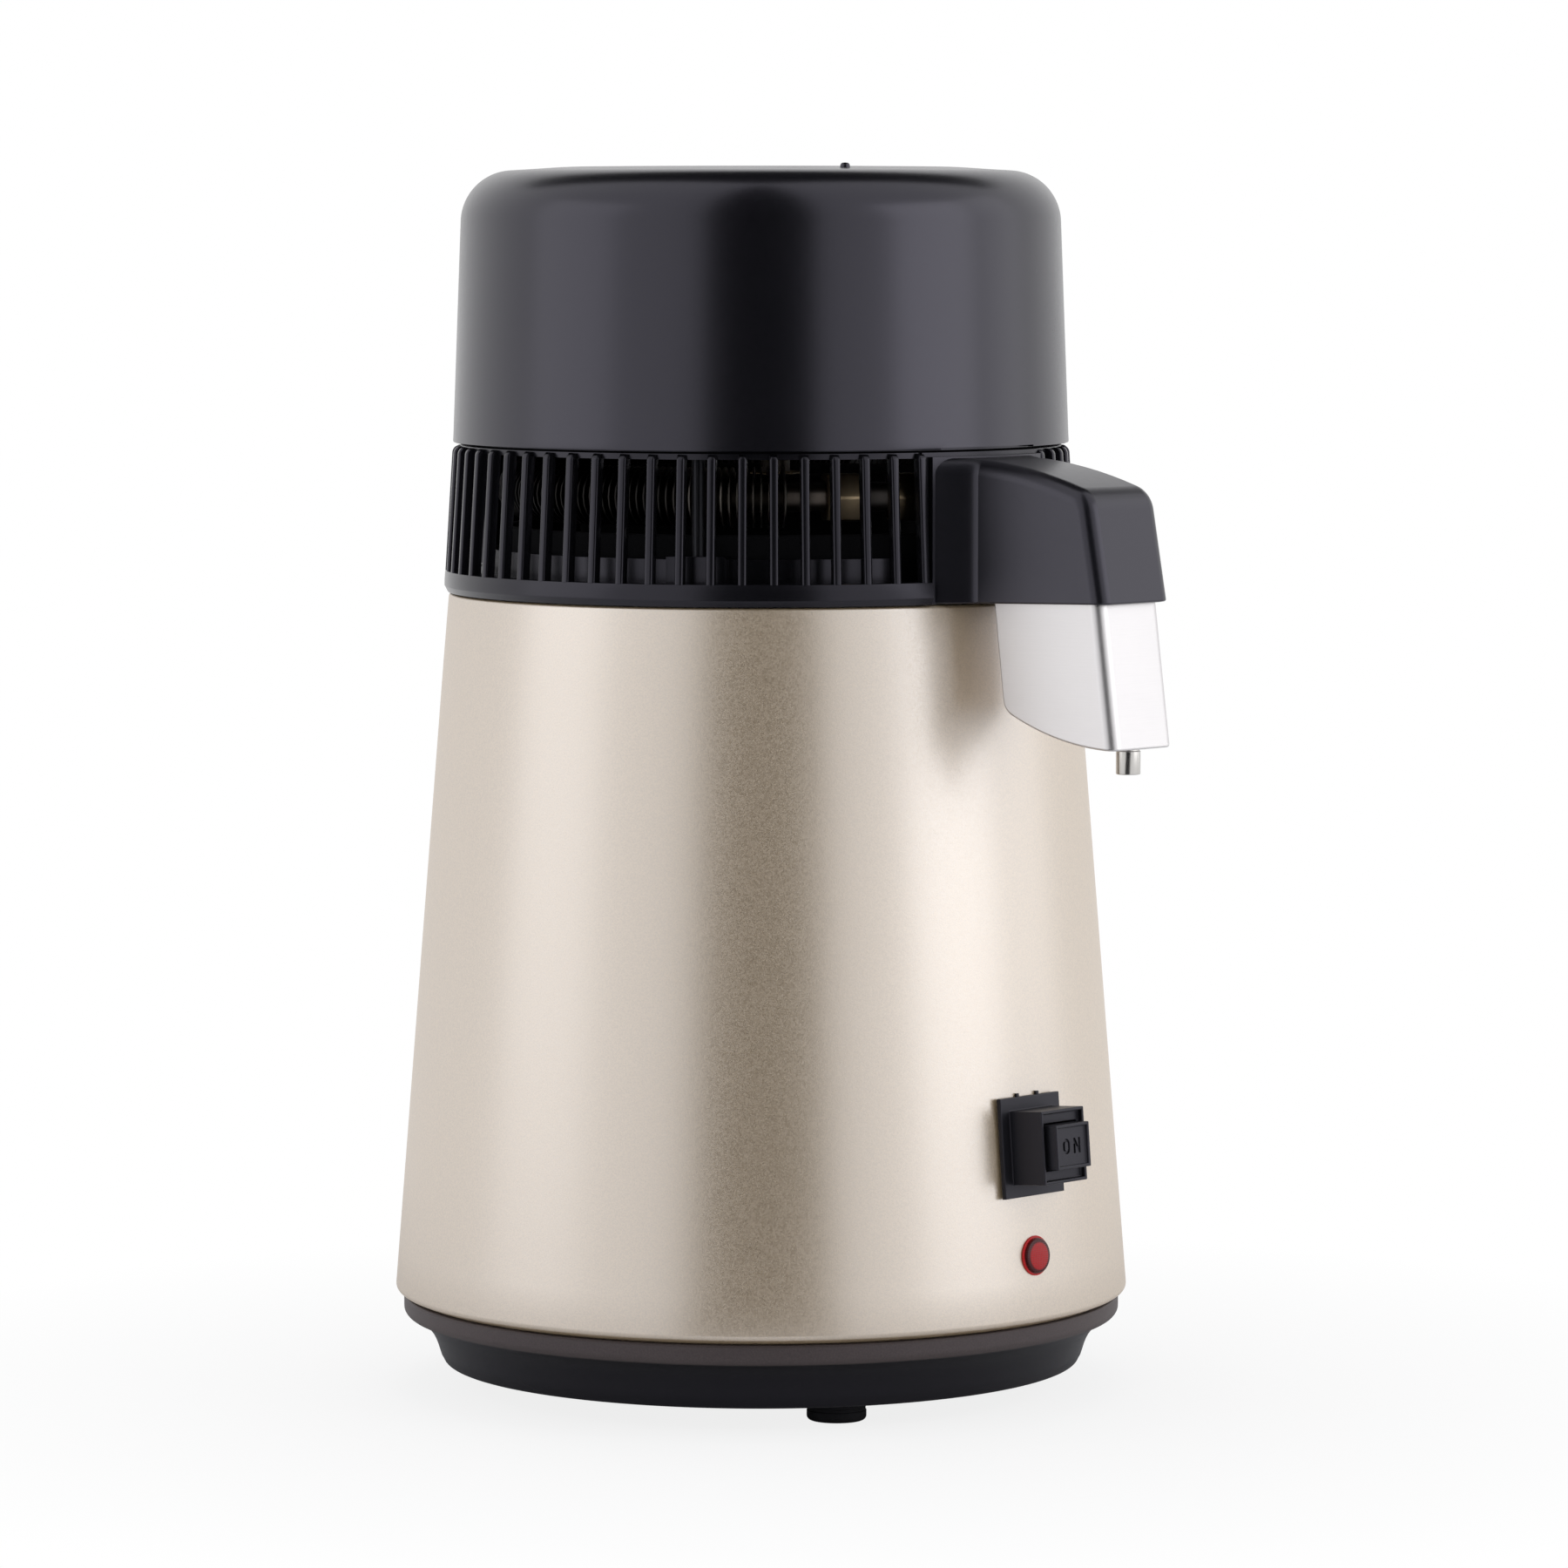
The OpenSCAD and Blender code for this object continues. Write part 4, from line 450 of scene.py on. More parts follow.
# %% Piece helper
def piece(bm, name, finish, body, replaces, crease=32.0, even=False):
    mesh = as_mesh(bm, name)
    mesh.materials.append(finish)
    mesh.polygons.foreach_set("use_smooth", [True] * len(mesh.polygons))
    mesh.set_sharp_from_angle(angle=math.radians(crease))
    made = in_scene(name, mesh)
    if even:
        weighted = made.modifiers.new("even", "WEIGHTED_NORMAL")
        weighted.weight = 100
        weighted.keep_sharp = True
    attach(made, body)
    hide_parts(*replaces)
    print("piece", name, len(mesh.polygons), "faces")
    return made


# %% [markdown]
# ## Cutting a hole
# The housing has square and round holes for the switch, the lamp and the sockets. A Boolean with a
# block of the hole's shape is the surest way to cut a thin curved wall. The cutter is a short-lived
# object: the result is read back as a mesh and the cutter is removed.

# %% Cutting helper
def cut_away(made, cutters):
    for bm in cutters:
        tool = in_scene("cutter", as_mesh(bm, "cutter"))
        cut = made.modifiers.new("cut", "BOOLEAN")
        cut.operation = "DIFFERENCE"
        cut.solver = "EXACT"
        cut.object = tool
        bpy.context.view_layer.update()
        result = bpy.data.meshes.new_from_object(made.evaluated_get(bpy.context.evaluated_depsgraph_get()))
        made.modifiers.remove(cut)
        spent = [made.data, tool.data]
        made.data = result
        result.name = made.name
        bpy.data.objects.remove(tool)
        for mesh in spent:
            bpy.data.meshes.remove(mesh)
    print("cut", made.name, len(cutters), "holes,", len(made.data.polygons), "faces")


def block(width, height, low, high):
    bm = bmesh.new()
    bmesh.ops.create_cube(bm, size=1.0)
    bmesh.ops.scale(bm, vec=(width * MM, height * MM, (high - low) * MM), verts=bm.verts)
    bmesh.ops.translate(bm, vec=(0, 0, (low + high) / 2 * MM), verts=bm.verts)
    return bm


# %% [markdown]
# ## The painted housing
# The housing is a cone of sheet steel with a rolled hem at the bottom and a small turned-in lip at
# the top. It is spun as one closed profile, outside and inside, so that it has the thickness of the
# sheet. The places of the switch, the lamp and the sockets are found on the leaning wall, and the
# profile has extra corners just beside them: a cut then reaches only short faces, and the long ones
# keep their smooth shading.

# %% Make the housing
PAN_TOP, HOUSING_TOP = 28.4, 245.0
BOTTOM_R, TOP_R, HEM_TOP = 113.0, 96.0, 31.5
LEAN = math.atan((BOTTOM_R - TOP_R) / (HOUSING_TOP - HEM_TOP))
SWITCH_Z, INLET_Z, SOCKET_Z, LAMP_HOLE_R = 83.0, 83.0, 214.0, 4.1
SWITCH_HOLE, INLET_HOLE, SOCKET_HOLE = (18.1, 20.6), (20.7, 28.7), (11.2, 15.2)


def wall_r(z):
    return TOP_R + (HOUSING_TOP - z) * math.tan(LEAN)


def on_wall(z, turn=0.0):
    stand = Matrix.Translation((0, -wall_r(z) * MM, z * MM)) @ Matrix.Rotation(math.pi / 2 - LEAN, 4, "X")
    return AXIS @ Matrix.Rotation(turn, 4, "Z") @ stand


SHEET, HEM_IN, HEM_R, HEM_ROUND = 0.8, 108.6, 111.1, 1.9
LIP_IN, LIP_R, LIP_Z, LIP_ROUND = 89.8, 94.8, 243.8, 1.2
beside_holes = (43.0, 57.0, 67.0, 99.0, 204.0, 224.0)
shell = [(HEM_IN, PAN_TOP)] + bend(HEM_R, HEM_TOP, HEM_ROUND, -75, 0, 8)
shell += [(wall_r(z), z) for z in beside_holes] + bend(LIP_R, LIP_Z, LIP_ROUND, 5, 90, 6)
shell += [(LIP_IN, HOUSING_TOP), (LIP_IN, HOUSING_TOP - SHEET), (94.6, HOUSING_TOP - SHEET), (95.2, LIP_Z)]
shell += [(wall_r(z) - SHEET, z) for z in reversed(beside_holes)]
shell += bend(HEM_R, HEM_TOP, HEM_ROUND - SHEET, 0, -75, 6) + [(HEM_IN, PAN_TOP + SHEET)]
housing = piece(moved(lathe(shell, 192, closed=True), AXIS), "housing_shell", PAINT, "boiler_base",
                ["outer_housing"])
cut_away(housing, [
    moved(block(*SWITCH_HOLE, -12, 3), on_wall(SWITCH_Z)),
    moved(lathe([(0, -12), (LAMP_HOLE_R, -12), (LAMP_HOLE_R, 2), (0, 2)], 32), on_wall(LAMP_Z)),
    moved(block(*INLET_HOLE, -13, 3), on_wall(INLET_Z, math.pi)),
    moved(block(*SOCKET_HOLE, -7, 3), on_wall(SOCKET_Z, math.pi))])

# %% [markdown]
# ## Base pan and feet
# The pan is a dark moulding that carries everything. Seen from the side it has an upright band under
# the hem with a rounded lip, a crease, and a hollow flare that draws in to the sole. The three rubber
# feet are lathe pieces with a rounded tread and a recess for the screw.

# %% Make the base pan and the feet
SOLE_Z, FOOT_RING = 7.5, 76
pan = [(0, SOLE_Z), (95.0, SOLE_Z)] + bend(96.9, 9.0, 1.7, -85, -10, 6)
pan += [(99.2, 9.7), (99.7, 11.2), (100.25, 13.0), (100.95, 14.8), (101.95, 16.7), (103.3, 18.5),
        (105.0, 20.0), (106.9, 21.2), (107.9, 21.7)]
pan += bend(108.2, 24.4, 2.4, -85, 0, 10)
pan += [(110.6, 27.6), (110.2, 28.2), (109.4, 28.35), (108.2, 28.35), (108.2, 32.4), (105.8, 32.4),
        (105.8, 24.4), (99.5, 16.3), (95.1, 9.9), (0, 9.9)]
piece(moved(lathe(pan, 160), AXIS), "base_pan_moulding", BASE_PLASTIC, "boiler_base", ["base_pan"])

foot = [(4.1, 0.5), (4.6, 0.05), (7.2, 0.0)] + bend(7.6, 1.4, 1.4, -90, 0, 6)
foot += [(9.0, 3.0), (8.75, 3.3), (8.75, 4.0), (9.0, 4.3), (9.0, SOLE_Z), (2.05, SOLE_Z), (2.05, 3.0),
         (4.1, 3.0)]
feet = [moved(lathe(foot, 48, closed=True), about_axis(a, FOOT_RING, 0)) for a in (-120, 0, 120)]
piece(joined(*feet), "rubber_feet_moulded", FOOT_RUBBER, "boiler_base", ["rubber_feet"])

# %% [markdown]
# ## The fan cap
# The cap is a deep satin bowl turned upside down. Its side leans in a little so that it could leave
# the mould, and a large radius leads into a slightly crowned top with a stepped seat for the finger
# guard. Fine steps in the arc keep the long highlight smooth. A small nib stands on the top.

# %% Make the fan cap
CAP_Z, CAP_TOP, CAP_R, CAP_ROUND, CAP_WALL = 290.5, 375.1, 94.5, 16, 2.5
DRAFT, CROWN = 2.15, 1
draft_share = math.tan(math.radians(DRAFT))
fillet_z = CAP_TOP - CROWN - CAP_ROUND
fillet_r = CAP_R - (fillet_z - CAP_Z) * draft_share - CAP_ROUND / math.cos(math.radians(DRAFT))
NOTCH_TOP = CAP_Z + 3
notch_r = CAP_R - (NOTCH_TOP - CAP_Z) * draft_share
CAP_EDGE = CAP_Z + 0.6
bowl = [(CAP_R - 0.5, CAP_EDGE), (CAP_R - 0.1, CAP_EDGE + 0.15), (CAP_R, CAP_EDGE + 0.6),
        (notch_r, NOTCH_TOP)]
bowl += bend(fillet_r, fillet_z, CAP_ROUND, DRAFT, 86, 26)
bowl += [(r, CAP_TOP - down) for r, down in
         ((70, 0.62), (64, 0.22), (61.2, 0.05), (60.5, 0.15), (60.1, 0.6), (60.0, 1.6), (57, 1.6), (57, 4.1),
          (60, 3.5))]
bowl += bend(fillet_r, fillet_z, CAP_ROUND - CAP_WALL, 90, DRAFT, 16)
bowl += [(notch_r - CAP_WALL, NOTCH_TOP), (CAP_R - CAP_WALL, CAP_EDGE + 0.4), (CAP_R - 2.1, CAP_EDGE)]
NIB_R, NIB_TURN = 66, -115
nib = lathe([(0, 1.0), (0.9, 0.9), (1.3, 0.6), (1.5, 0.0), (1.5, -1.4)], 24)
cap = joined(moved(lathe(bowl, 192, closed=True), AXIS), moved(nib, about_axis(NIB_TURN, NIB_R, CAP_TOP)))
cap = piece(cap, "fan_cap_bowl", CAP_PLASTIC, "fan_head", ["fan_cap"])
NOTCH_SIZE, NOTCH_AT = (42.0, 30.0), 92
notch = block(*NOTCH_SIZE, CAP_Z - 2.0, CAP_Z + 1.2)
cut_away(cap, [moved(notch, AXIS @ Matrix.Translation((0, -NOTCH_AT * MM, 0)))])

# %% [markdown]
# ## Working on a copy of a CAD node
# Some pieces have the right shape already and lack only the small radii that a mould or a press
# leaves. The node's own mesh stays as it is. A copy is merged, its flat triangles are dissolved into
# whole faces, and chosen edges are bevelled. The choice is a small test on the edge.

# %% Copy and soften helpers
def cad_copy(node):
    bm = bmesh.new()
    bm.from_mesh(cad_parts[node].data)
    bmesh.ops.remove_doubles(bm, verts=bm.verts, dist=1e-6)
    bmesh.ops.dissolve_limit(bm, angle_limit=math.radians(0.4), verts=bm.verts, edges=bm.edges)
    return bm


def soften(bm, width_mm, choose, angle=40.0, segments=3, clamp=False):
    edges = [e for e in bm.edges
             if e.is_manifold and e.calc_face_angle(0) > math.radians(angle) and choose(e)]
    bmesh.ops.bevel(bm, geom=edges, offset=width_mm * MM, offset_type="OFFSET", segments=segments,
                    profile=0.5, affect="EDGES", clamp_overlap=clamp, material=-1)
    print("softened", len(edges), "edges by", width_mm, "mm")
    return bm


def middle(edge):
    return (edge.verts[0].co + edge.verts[1].co) / (2 * MM)


def long_edge(least_mm):
    return lambda edge: edge.calc_length() > least_mm * MM


# %% [markdown]
# ## A shell from its side view
# The spout hood and the cup are both boxes whose shape is drawn from the side. The side view is a
# face that is extruded across to its full width, as the ring's ribs are later. The faces on the open
# sides are removed, the long corners are rounded, and at the end the skin gets its wall inwards.

# %% Shell helper
def extruded(corners, across):
    bm = bmesh.new()
    face = bm.faces.new([bm.verts.new([c * MM for c in corner]) for corner in corners])
    grown = bmesh.ops.extrude_face_region(bm, geom=[face])["geom"]
    far_side = [g for g in grown if isinstance(g, bmesh.types.BMVert)]
    bmesh.ops.translate(bm, vec=[c * MM for c in across], verts=far_side)
    return faced_out(bm)


def side_block(profile, half_mm, is_open):
    bm = extruded([(-half_mm, -r, z) for r, z in profile], (2 * half_mm, 0, 0))
    open_faces = [f for f in bm.faces if is_open(f.normal)]
    bmesh.ops.delete(bm, geom=open_faces, context="FACES_ONLY")
    return bm


def round_corner(before, at, after, radius, steps=6):
    at = Vector(at)
    back, on = (Vector(before) - at).normalized(), (Vector(after) - at).normalized()
    half = back.angle(on) / 2
    centre = at + (back + on).normalized() * radius / math.sin(half)
    first = at + back * radius / math.tan(half) - centre
    sweep = math.copysign(math.pi - 2 * half, back.x * on.y - back.y * on.x)
    turns = [math.atan2(first.y, first.x) - part for part in parts(sweep, steps)]
    return [(centre.x + radius * math.cos(t), centre.y + radius * math.sin(t)) for t in turns]


def walled(bm, wall_mm):
    faced_out(bm)
    bmesh.ops.solidify(bm, geom=bm.faces[:], thickness=wall_mm * MM)
    return faced_out(bm)


# %% [markdown]
# ## The spout hood
# From the side the hood is a long arc that turns over a round nose into a leaning front. Its corners
# have a radius of about five millimetres. Near the ring it flares: cuts across the root give rows
# of vertices, and each row is widened along an eased slope and pushed back onto the round ring. The
# lower edge drops a little towards the root, and its rim is broken by a small radius.

# %% Make the spout hood
HOOD_HALF, HOOD_Z, HOOD_REACH, HOOD_ROOT = 16.3, 247.0, 150.4, 95.1
NOSE_R, CREST_R, FLARE, SPREAD, EASE = 9.0, 160.0, 7.5, 7.4, 2.2
ROOT_DROP, HOOD_WALL, HOOD_CORNER, HOOD_RIM = 1.5, 1.8, 4.8, 0.6
PLATE_IN, PLATE_TOP, PLATE_TURN = 93.5, 289.0, 29.96
HOOD_HEART = Vector((0, -120, 260))
front_lean = math.radians(10.6)
crest = Vector((90.0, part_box("spout_hood")[1].z / MM - 0.3 - CREST_R))
outward = Vector((math.cos(front_lean), math.sin(front_lean)))
front_reach = outward.dot(Vector((HOOD_REACH, HOOD_Z)))
nose_turn = front_lean + math.acos((front_reach - NOSE_R - outward.dot(crest)) / (CREST_R - NOSE_R))
nose_at = crest + (CREST_R - NOSE_R) * Vector((math.cos(nose_turn), math.sin(nose_turn)))
root_turn = math.acos((HOOD_ROOT - crest.x) / CREST_R)
hood_side = [(HOOD_REACH, HOOD_Z)]
hood_side += bend(nose_at.x, nose_at.y, NOSE_R, math.degrees(front_lean), math.degrees(nose_turn), 10)
hood_side += bend(crest.x, crest.y, CREST_R, math.degrees(nose_turn), math.degrees(root_turn), 9)[1:]
hood_side += [(HOOD_ROOT, HOOD_Z - ROOT_DROP)]
hood = side_block(hood_side, HOOD_HALF, lambda way: way.z < -0.9 or way.y > 0.9)
soften(hood, HOOD_CORNER, lambda e: abs(middle(e).x) > HOOD_HALF - 0.1, segments=8)
for step in (1.2, 2.6, 3.8, 4.8, 5.5, 6.1, 6.6, 7.0, 7.3, FLARE):
    bmesh.ops.bisect_plane(hood, geom=hood.verts[:] + hood.edges[:] + hood.faces[:], dist=1e-7,
                           plane_co=(0, -(HOOD_ROOT + step) * MM, 0), plane_no=(0, 1, 0))
slope = SPREAD / (math.hypot(FLARE, EASE) - EASE)
for v in hood.verts:
    reach = -v.co.y / MM - HOOD_ROOT
    if reach < FLARE:
        wide = HOOD_HALF + slope * (math.hypot(FLARE - reach, EASE) - EASE)
        v.co.x *= wide / HOOD_HALF
        back = HOOD_ROOT - math.sqrt(HOOD_ROOT ** 2 - (v.co.x / MM) ** 2)
        v.co.y += back * (1 - reach / FLARE) * MM
walled(hood, HOOD_WALL)


def outer_rim(edge):
    rim = [f for f in edge.link_faces if f.normal.z < -0.9]
    wall = [f for f in edge.link_faces if abs(f.normal.z) < 0.5]
    return len(rim) == 1 and len(wall) == 1 and wall[0].normal.dot(middle(edge) - HOOD_HEART) > 0


soften(hood, HOOD_RIM, outer_rim, clamp=True)
root_z = HOOD_Z - ROOT_DROP
plate = [(PLATE_IN, root_z), (HOOD_ROOT, root_z), (HOOD_ROOT, PLATE_TOP), (PLATE_IN, PLATE_TOP)]
hood = joined(hood, lathe(plate, 16, PLATE_TURN, -90 - PLATE_TURN / 2, True))
piece(moved(hood, AXIS), "spout_hood_moulding", HOOD_PLASTIC, "fan_head", ["spout_hood"],
      50.0, True)

# %% [markdown]
# ## The filter cup and its nozzle
# The cup is bent and welded from brushed stainless sheet. The two upright corners at the front are
# bends of nearly four millimetres, which show as a dark band between two bright faces; the other corners
# are welds that were ground to less than a millimetre. Its bottom is a slow arc that rises to a
# rounded corner at the back. The nozzle is a short bright tube with a neck where it is pressed in.

# %% Make the cup and the nozzle
CUP_HALF, CUP_TOP, CUP_ROOT, CUP_MOUTH, CUP_REACH = 14.1, 258.0, 106.5, 145.92, 153.2
CUP_SHEET, BEND, WELD, BACK_BEND = 0.8, 3.8, 0.8, 6.0
BELLY_R, belly = 94.0, Vector((CUP_REACH, 298.0))
back_lean = math.tan(math.radians(6.9))


def back_r(z):
    return CUP_ROOT + (HOOD_Z - z) * back_lean


def belly_z(r):
    return belly.y - math.sqrt(BELLY_R ** 2 - (r - belly.x) ** 2)


corner_r = next(r for r in (110 + 0.05 * i for i in range(200)) if r > back_r(belly_z(r)))
back_corner, front_corner = (corner_r, belly_z(corner_r)), (CUP_REACH, belly_z(CUP_REACH))
cup_back, cup_front = (back_r(CUP_TOP), CUP_TOP), (CUP_MOUTH, CUP_TOP)
arc = [(r, belly_z(r)) for r in (corner_r + 3 + part for part in parts(149 - corner_r - 3, 12))]
cup_side = [cup_back] + round_corner(cup_back, back_corner, arc[0], BACK_BEND)
cup_side += arc + [front_corner, cup_front]
cup = side_block(cup_side, CUP_HALF, lambda way: way.z > 0.9)


def front_upright(edge):
    return abs(middle(edge).x) > CUP_HALF - 0.1 and middle(edge).y < -146 and edge.calc_length() > 20 * MM


soften(cup, BEND, front_upright, segments=6)
soften(cup, WELD, lambda e: True)
walled(cup, CUP_SHEET)
piece(moved(cup, AXIS), "filter_cup_sheet", BRUSHED_STEEL, "spout_cup", ["filter_cup"],
      50.0, True)

nozzle = bend(3.35, 196.7, 0.3, 0, -90, 3) + [(3.2, 196.4)] + bend(3.2, 196.6, 0.2, -90, -180, 3)
nozzle += [(3.0, 205.8), (3.325, 205.8), (3.325, 203.5), (3.5, 203.35), (3.65, 203.2)]
nozzle_low, nozzle_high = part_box("drip_nozzle")
nozzle_place = Matrix.Translation((0, (nozzle_low.y + nozzle_high.y) / 2, 0))
piece(moved(lathe(nozzle, 48, closed=True), nozzle_place), "drip_nozzle_tube", TUBE_STEEL, "spout_cup",
      ["drip_nozzle"])

# %% [markdown]
# ## The slotted ring
# Air leaves the head through a ring of upright ribs on a plain band. One rib is drawn from the side,
# extruded to its width and rounded along its outer edges; then it is repeated about the axis, with
# the ribs left out where the hood stands. The band and the collar under the cap are lathe pieces.

# %% Make the slotted ring
RIB_COUNT, RIB_WIDTH, RIB_ROUND, RIBS_LEFT_OUT = 64, 2.6, 0.75, 3
RIB_SIDE = [(93.8, 251.9), (97.0, 251.9), (94.7, 288.9), (93.5, 290.1), (91.3, 290.1)]
GAP = 15.58


def one_rib():
    bm = extruded([(r, -RIB_WIDTH / 2, z) for r, z in RIB_SIDE], (0, RIB_WIDTH, 0))
    return soften(bm, RIB_ROUND, lambda e: middle(e).x > 92.6 and middle(e).z > 252.5, 25.0)


ring_parts = []
for i in range(RIBS_LEFT_OUT, RIB_COUNT - RIBS_LEFT_OUT + 1):
    ring_parts.append(moved(one_rib(), about_axis(i * 360 / RIB_COUNT - 90, 0, 0)))
band = [(94.3, 245.4), (96.3, 245.4)] + bend(96.9, 247.4, 0.4, -40, 0, 3)
band += [(97.3, 248.8), (97.1, 251.4), (96.9, 251.9), (96.4, 252.1), (90.2, 252.1), (90.2, 251.8),
         (94.3, 251.8)]
ring_parts.append(moved(lathe(band, 150, 360 - 2 * GAP, GAP - 90, True), AXIS))
collar = [(89.8, 288.6), (92.3, 288.6), (92.3, 290.3), (91.7, 290.9), (91.7, 293.2), (89.8, 293.2)]
ring_parts.append(moved(lathe(collar, 160, closed=True), AXIS))
panel = [(91.3, 251.9), (93.3, 251.9), (93.3, 290.3), (91.3, 290.3)]
ring_parts.append(moved(lathe(panel, 16, 2 * GAP + 2, -91 - GAP, True), AXIS))
piece(joined(*ring_parts), "slotted_ring_ribs", RING_PLASTIC, "fan_head", ["slotted_ring"],
      34.0)

# %% [markdown]
# ## The push switch
# The switch is a matt black moulding: a plate on the wall, a collar, and a button with a raised rim
# and engraved letters that say ON. The CAD copies keep the engraving, and only their long edges get
# the small radius of a moulding.

# %% Make the switch
for node, name, body, radius in (("switch_housing", "switch_moulding", "boiler_base", 0.35),
                                 ("on_button", "switch_button", "push_button", 0.30)):
    moulding = soften(cad_copy(node), radius, long_edge(9.0), clamp=True)
    piece(moulding, name, SWITCH_PLASTIC, body, [node], even=True)

# %% [markdown]
# ## The pilot lamp
# The lens is a small turned piece: a thin flange on the wall, an upright side, and a gently domed
# face. It is spun upright and then stood on the leaning wall.

# %% Make the lamp lens
dome = [(0, 1.95), (1.6, 1.92), (3.0, 1.84), (4.1, 1.72)] + bend(4.85, 1.2, 0.4, 90, 0, 5)
dome += [(5.25, 0.65), (5.4, 0.5)] + bend(5.7, 0.2, 0.3, 90, 0, 4)
dome += [(6.0, 0.0), (2.8, 0.0), (2.8, 0.8), (0, 0.8)]
piece(moved(lathe(dome, 64), on_wall(LAMP_Z)), "lamp_lens_dome", RED_LENS, "boiler_base", ["lamp_lens"])

# %% [markdown]
# ## Tubes along a path
# The condenser, the outlet tube, the wiring and the return spring are round bars along a path. A
# ring of vertices is extruded from point to point: each step copies the ring forward, turns it from
# the old direction to the new one and moves it on. That way the tube never twists.

# %% Tube helper
def tube(path, radius_mm, sides):
    points = [Vector(p) * MM for p in path]
    ways = [(points[min(i + 1, len(points) - 1)] - points[max(i - 1, 0)]).normalized()
            for i in range(len(points))]
    bm = bmesh.new()
    upright = Vector((0, 0, 1)).rotation_difference(ways[0]).to_matrix().to_4x4()
    start = Matrix.Translation(points[0]) @ upright
    bmesh.ops.create_circle(bm, cap_ends=True, segments=sides, radius=radius_mm * MM, matrix=start)
    edges = list(bm.edges)
    for i in range(1, len(points)):
        grown = bmesh.ops.extrude_edge_only(bm, edges=edges)["geom"]
        verts = [g for g in grown if isinstance(g, bmesh.types.BMVert)]
        edges = [g for g in grown if isinstance(g, bmesh.types.BMEdge)
                 and all(v in verts for v in g.verts)]
        bmesh.ops.rotate(bm, cent=points[i - 1], verts=verts,
                         matrix=ways[i - 1].rotation_difference(ways[i]).to_matrix())
        bmesh.ops.translate(bm, vec=points[i] - points[i - 1], verts=verts)
    fill_ends(bm)
    return faced_out(bm)


def turned_by(x, y, z, degrees):
    a = math.radians(degrees)
    return (x * math.cos(a) - y * math.sin(a), x * math.sin(a) + y * math.cos(a), z)


# %% [markdown]
# ## The finned condenser
# Steam rises through a riser, runs round the head in two turns of finned tube and leaves by a
# straight tube to the spout. The tube follows the same route as the CAD solid, with more steps. The
# fins are thin discs about two millimetres apart, so each one has only a few faces. Their colour is a
# painted shade: darkened at the outlet end and near black further round, where little light reaches.

# %% Make the condenser
COIL_R, COIL_Z, COIL_TOP, TUBE_R = 72.0, 276.8, 297.8, 4.5
STUB, RETURN_R, INWARD_R, RISER_R, RISER_AT, RISER_LENGTH = 9, 10.5, 14, 12, 30, 20
COIL_START, LOWER_TURN, UPPER_TURN = -55.0, 290.0, 260.0
LOWER_END, UPPER_END = COIL_START + LOWER_TURN, COIL_START + UPPER_TURN
quarter = parts(math.pi / 2, 8)
route = [turned_by(COIL_R, STUB, COIL_Z, LOWER_END)]
route += [turned_by(COIL_R, 0, COIL_Z, LOWER_END - part) for part in parts(LOWER_TURN, 120)]
route += [turned_by(COIL_R, -RETURN_R * math.sin(a), COIL_Z + RETURN_R * (1 - math.cos(a)), COIL_START)
          for a in parts(math.pi, 14)[1:-1]]
route += [turned_by(COIL_R, 0, COIL_TOP, COIL_START + part) for part in parts(UPPER_TURN, 110)]
route += [turned_by(COIL_R - INWARD_R * (1 - math.cos(a)), INWARD_R * math.sin(a), COIL_TOP, UPPER_END)
          for a in quarter[1:]]
route += [turned_by(RISER_AT + RISER_R * (1 - math.sin(a)), INWARD_R,
                    COIL_TOP - RISER_R * (1 - math.cos(a)), UPPER_END) for a in quarter]
route += [turned_by(RISER_AT, INWARD_R, COIL_TOP - RISER_LENGTH, UPPER_END)]
piece(moved(tube(route, TUBE_R, 20), AXIS), "condenser_tube_wound", SHADED_COPPER_TUBE, "fan_head",
      ["condenser_tube"], 40.0)

FIN_PITCH, FIN_R, FIN_SHEET = 2.15, 9.0, 0.45
# Painted shade: the fin colour goes from a darkened tone at the outlet end to near black further round.
LIT_REACH, SHADED_REACH = 26, 46
LIT_FIN, SHADED_FIN = (0.225, 0.205, 0.185, 1.0), (0.030, 0.028, 0.027, 1.0)


def fin_metal(lit_end):
    material, wire = start_finish("fin_metal")
    brush = stretch(wire, (0.6, 0.6, 2.0))
    away = wire.node("ShaderNodeVectorMath", {"operation": "DISTANCE"},
                     {0: object_place(wire), 1: lit_end}, out="Value")
    # Painted shade: the colour darkens with distance from the outlet end.
    colour = blend(wire, eased(wire, away, LIT_REACH, SHADED_REACH), LIT_FIN, SHADED_FIN)
    return end_finish(material, wire, Base_Color=colour, Metallic=1.0, Roughness=0.32 + brush * 0.16,
                      Normal=relief(wire, brush, 0.004, 0.5))


lower_end = AXIS @ (Vector(turned_by(COIL_R, 0, COIL_Z, LOWER_END)) * MM)
FIN_METAL = fin_metal(lower_end[:])
BARE_END = 4
fin_step = math.degrees(FIN_PITCH / COIL_R)
on_edge = Matrix.Rotation(math.pi / 2, 4, "X")
stands = [about_axis(COIL_START + BARE_END + i * fin_step, COIL_R, level) @ on_edge
          for level, sweep in ((COIL_Z, LOWER_TURN), (COIL_TOP, UPPER_TURN))
          for i in range(int((sweep - 2 * BARE_END) / fin_step))]
fin_set = bmesh.new()
for stand in stands:
    bmesh.ops.create_cone(fin_set, cap_ends=True, segments=20, radius1=FIN_R * MM, radius2=FIN_R * MM,
                          depth=FIN_SHEET * MM, matrix=stand)
piece(fin_set, "condenser_fin_stack", FIN_METAL, "fan_head", ["condenser_fins"], 40.0)
print("fins", len(stands))

# %% [markdown]
# ## Outlet tube and nuts
# The outlet tube leaves the lower turn, straightens towards the front and drops into the cup. The
# union nuts that hold it are CAD copies with the chamfers that a hexagon bar gets on the lathe.

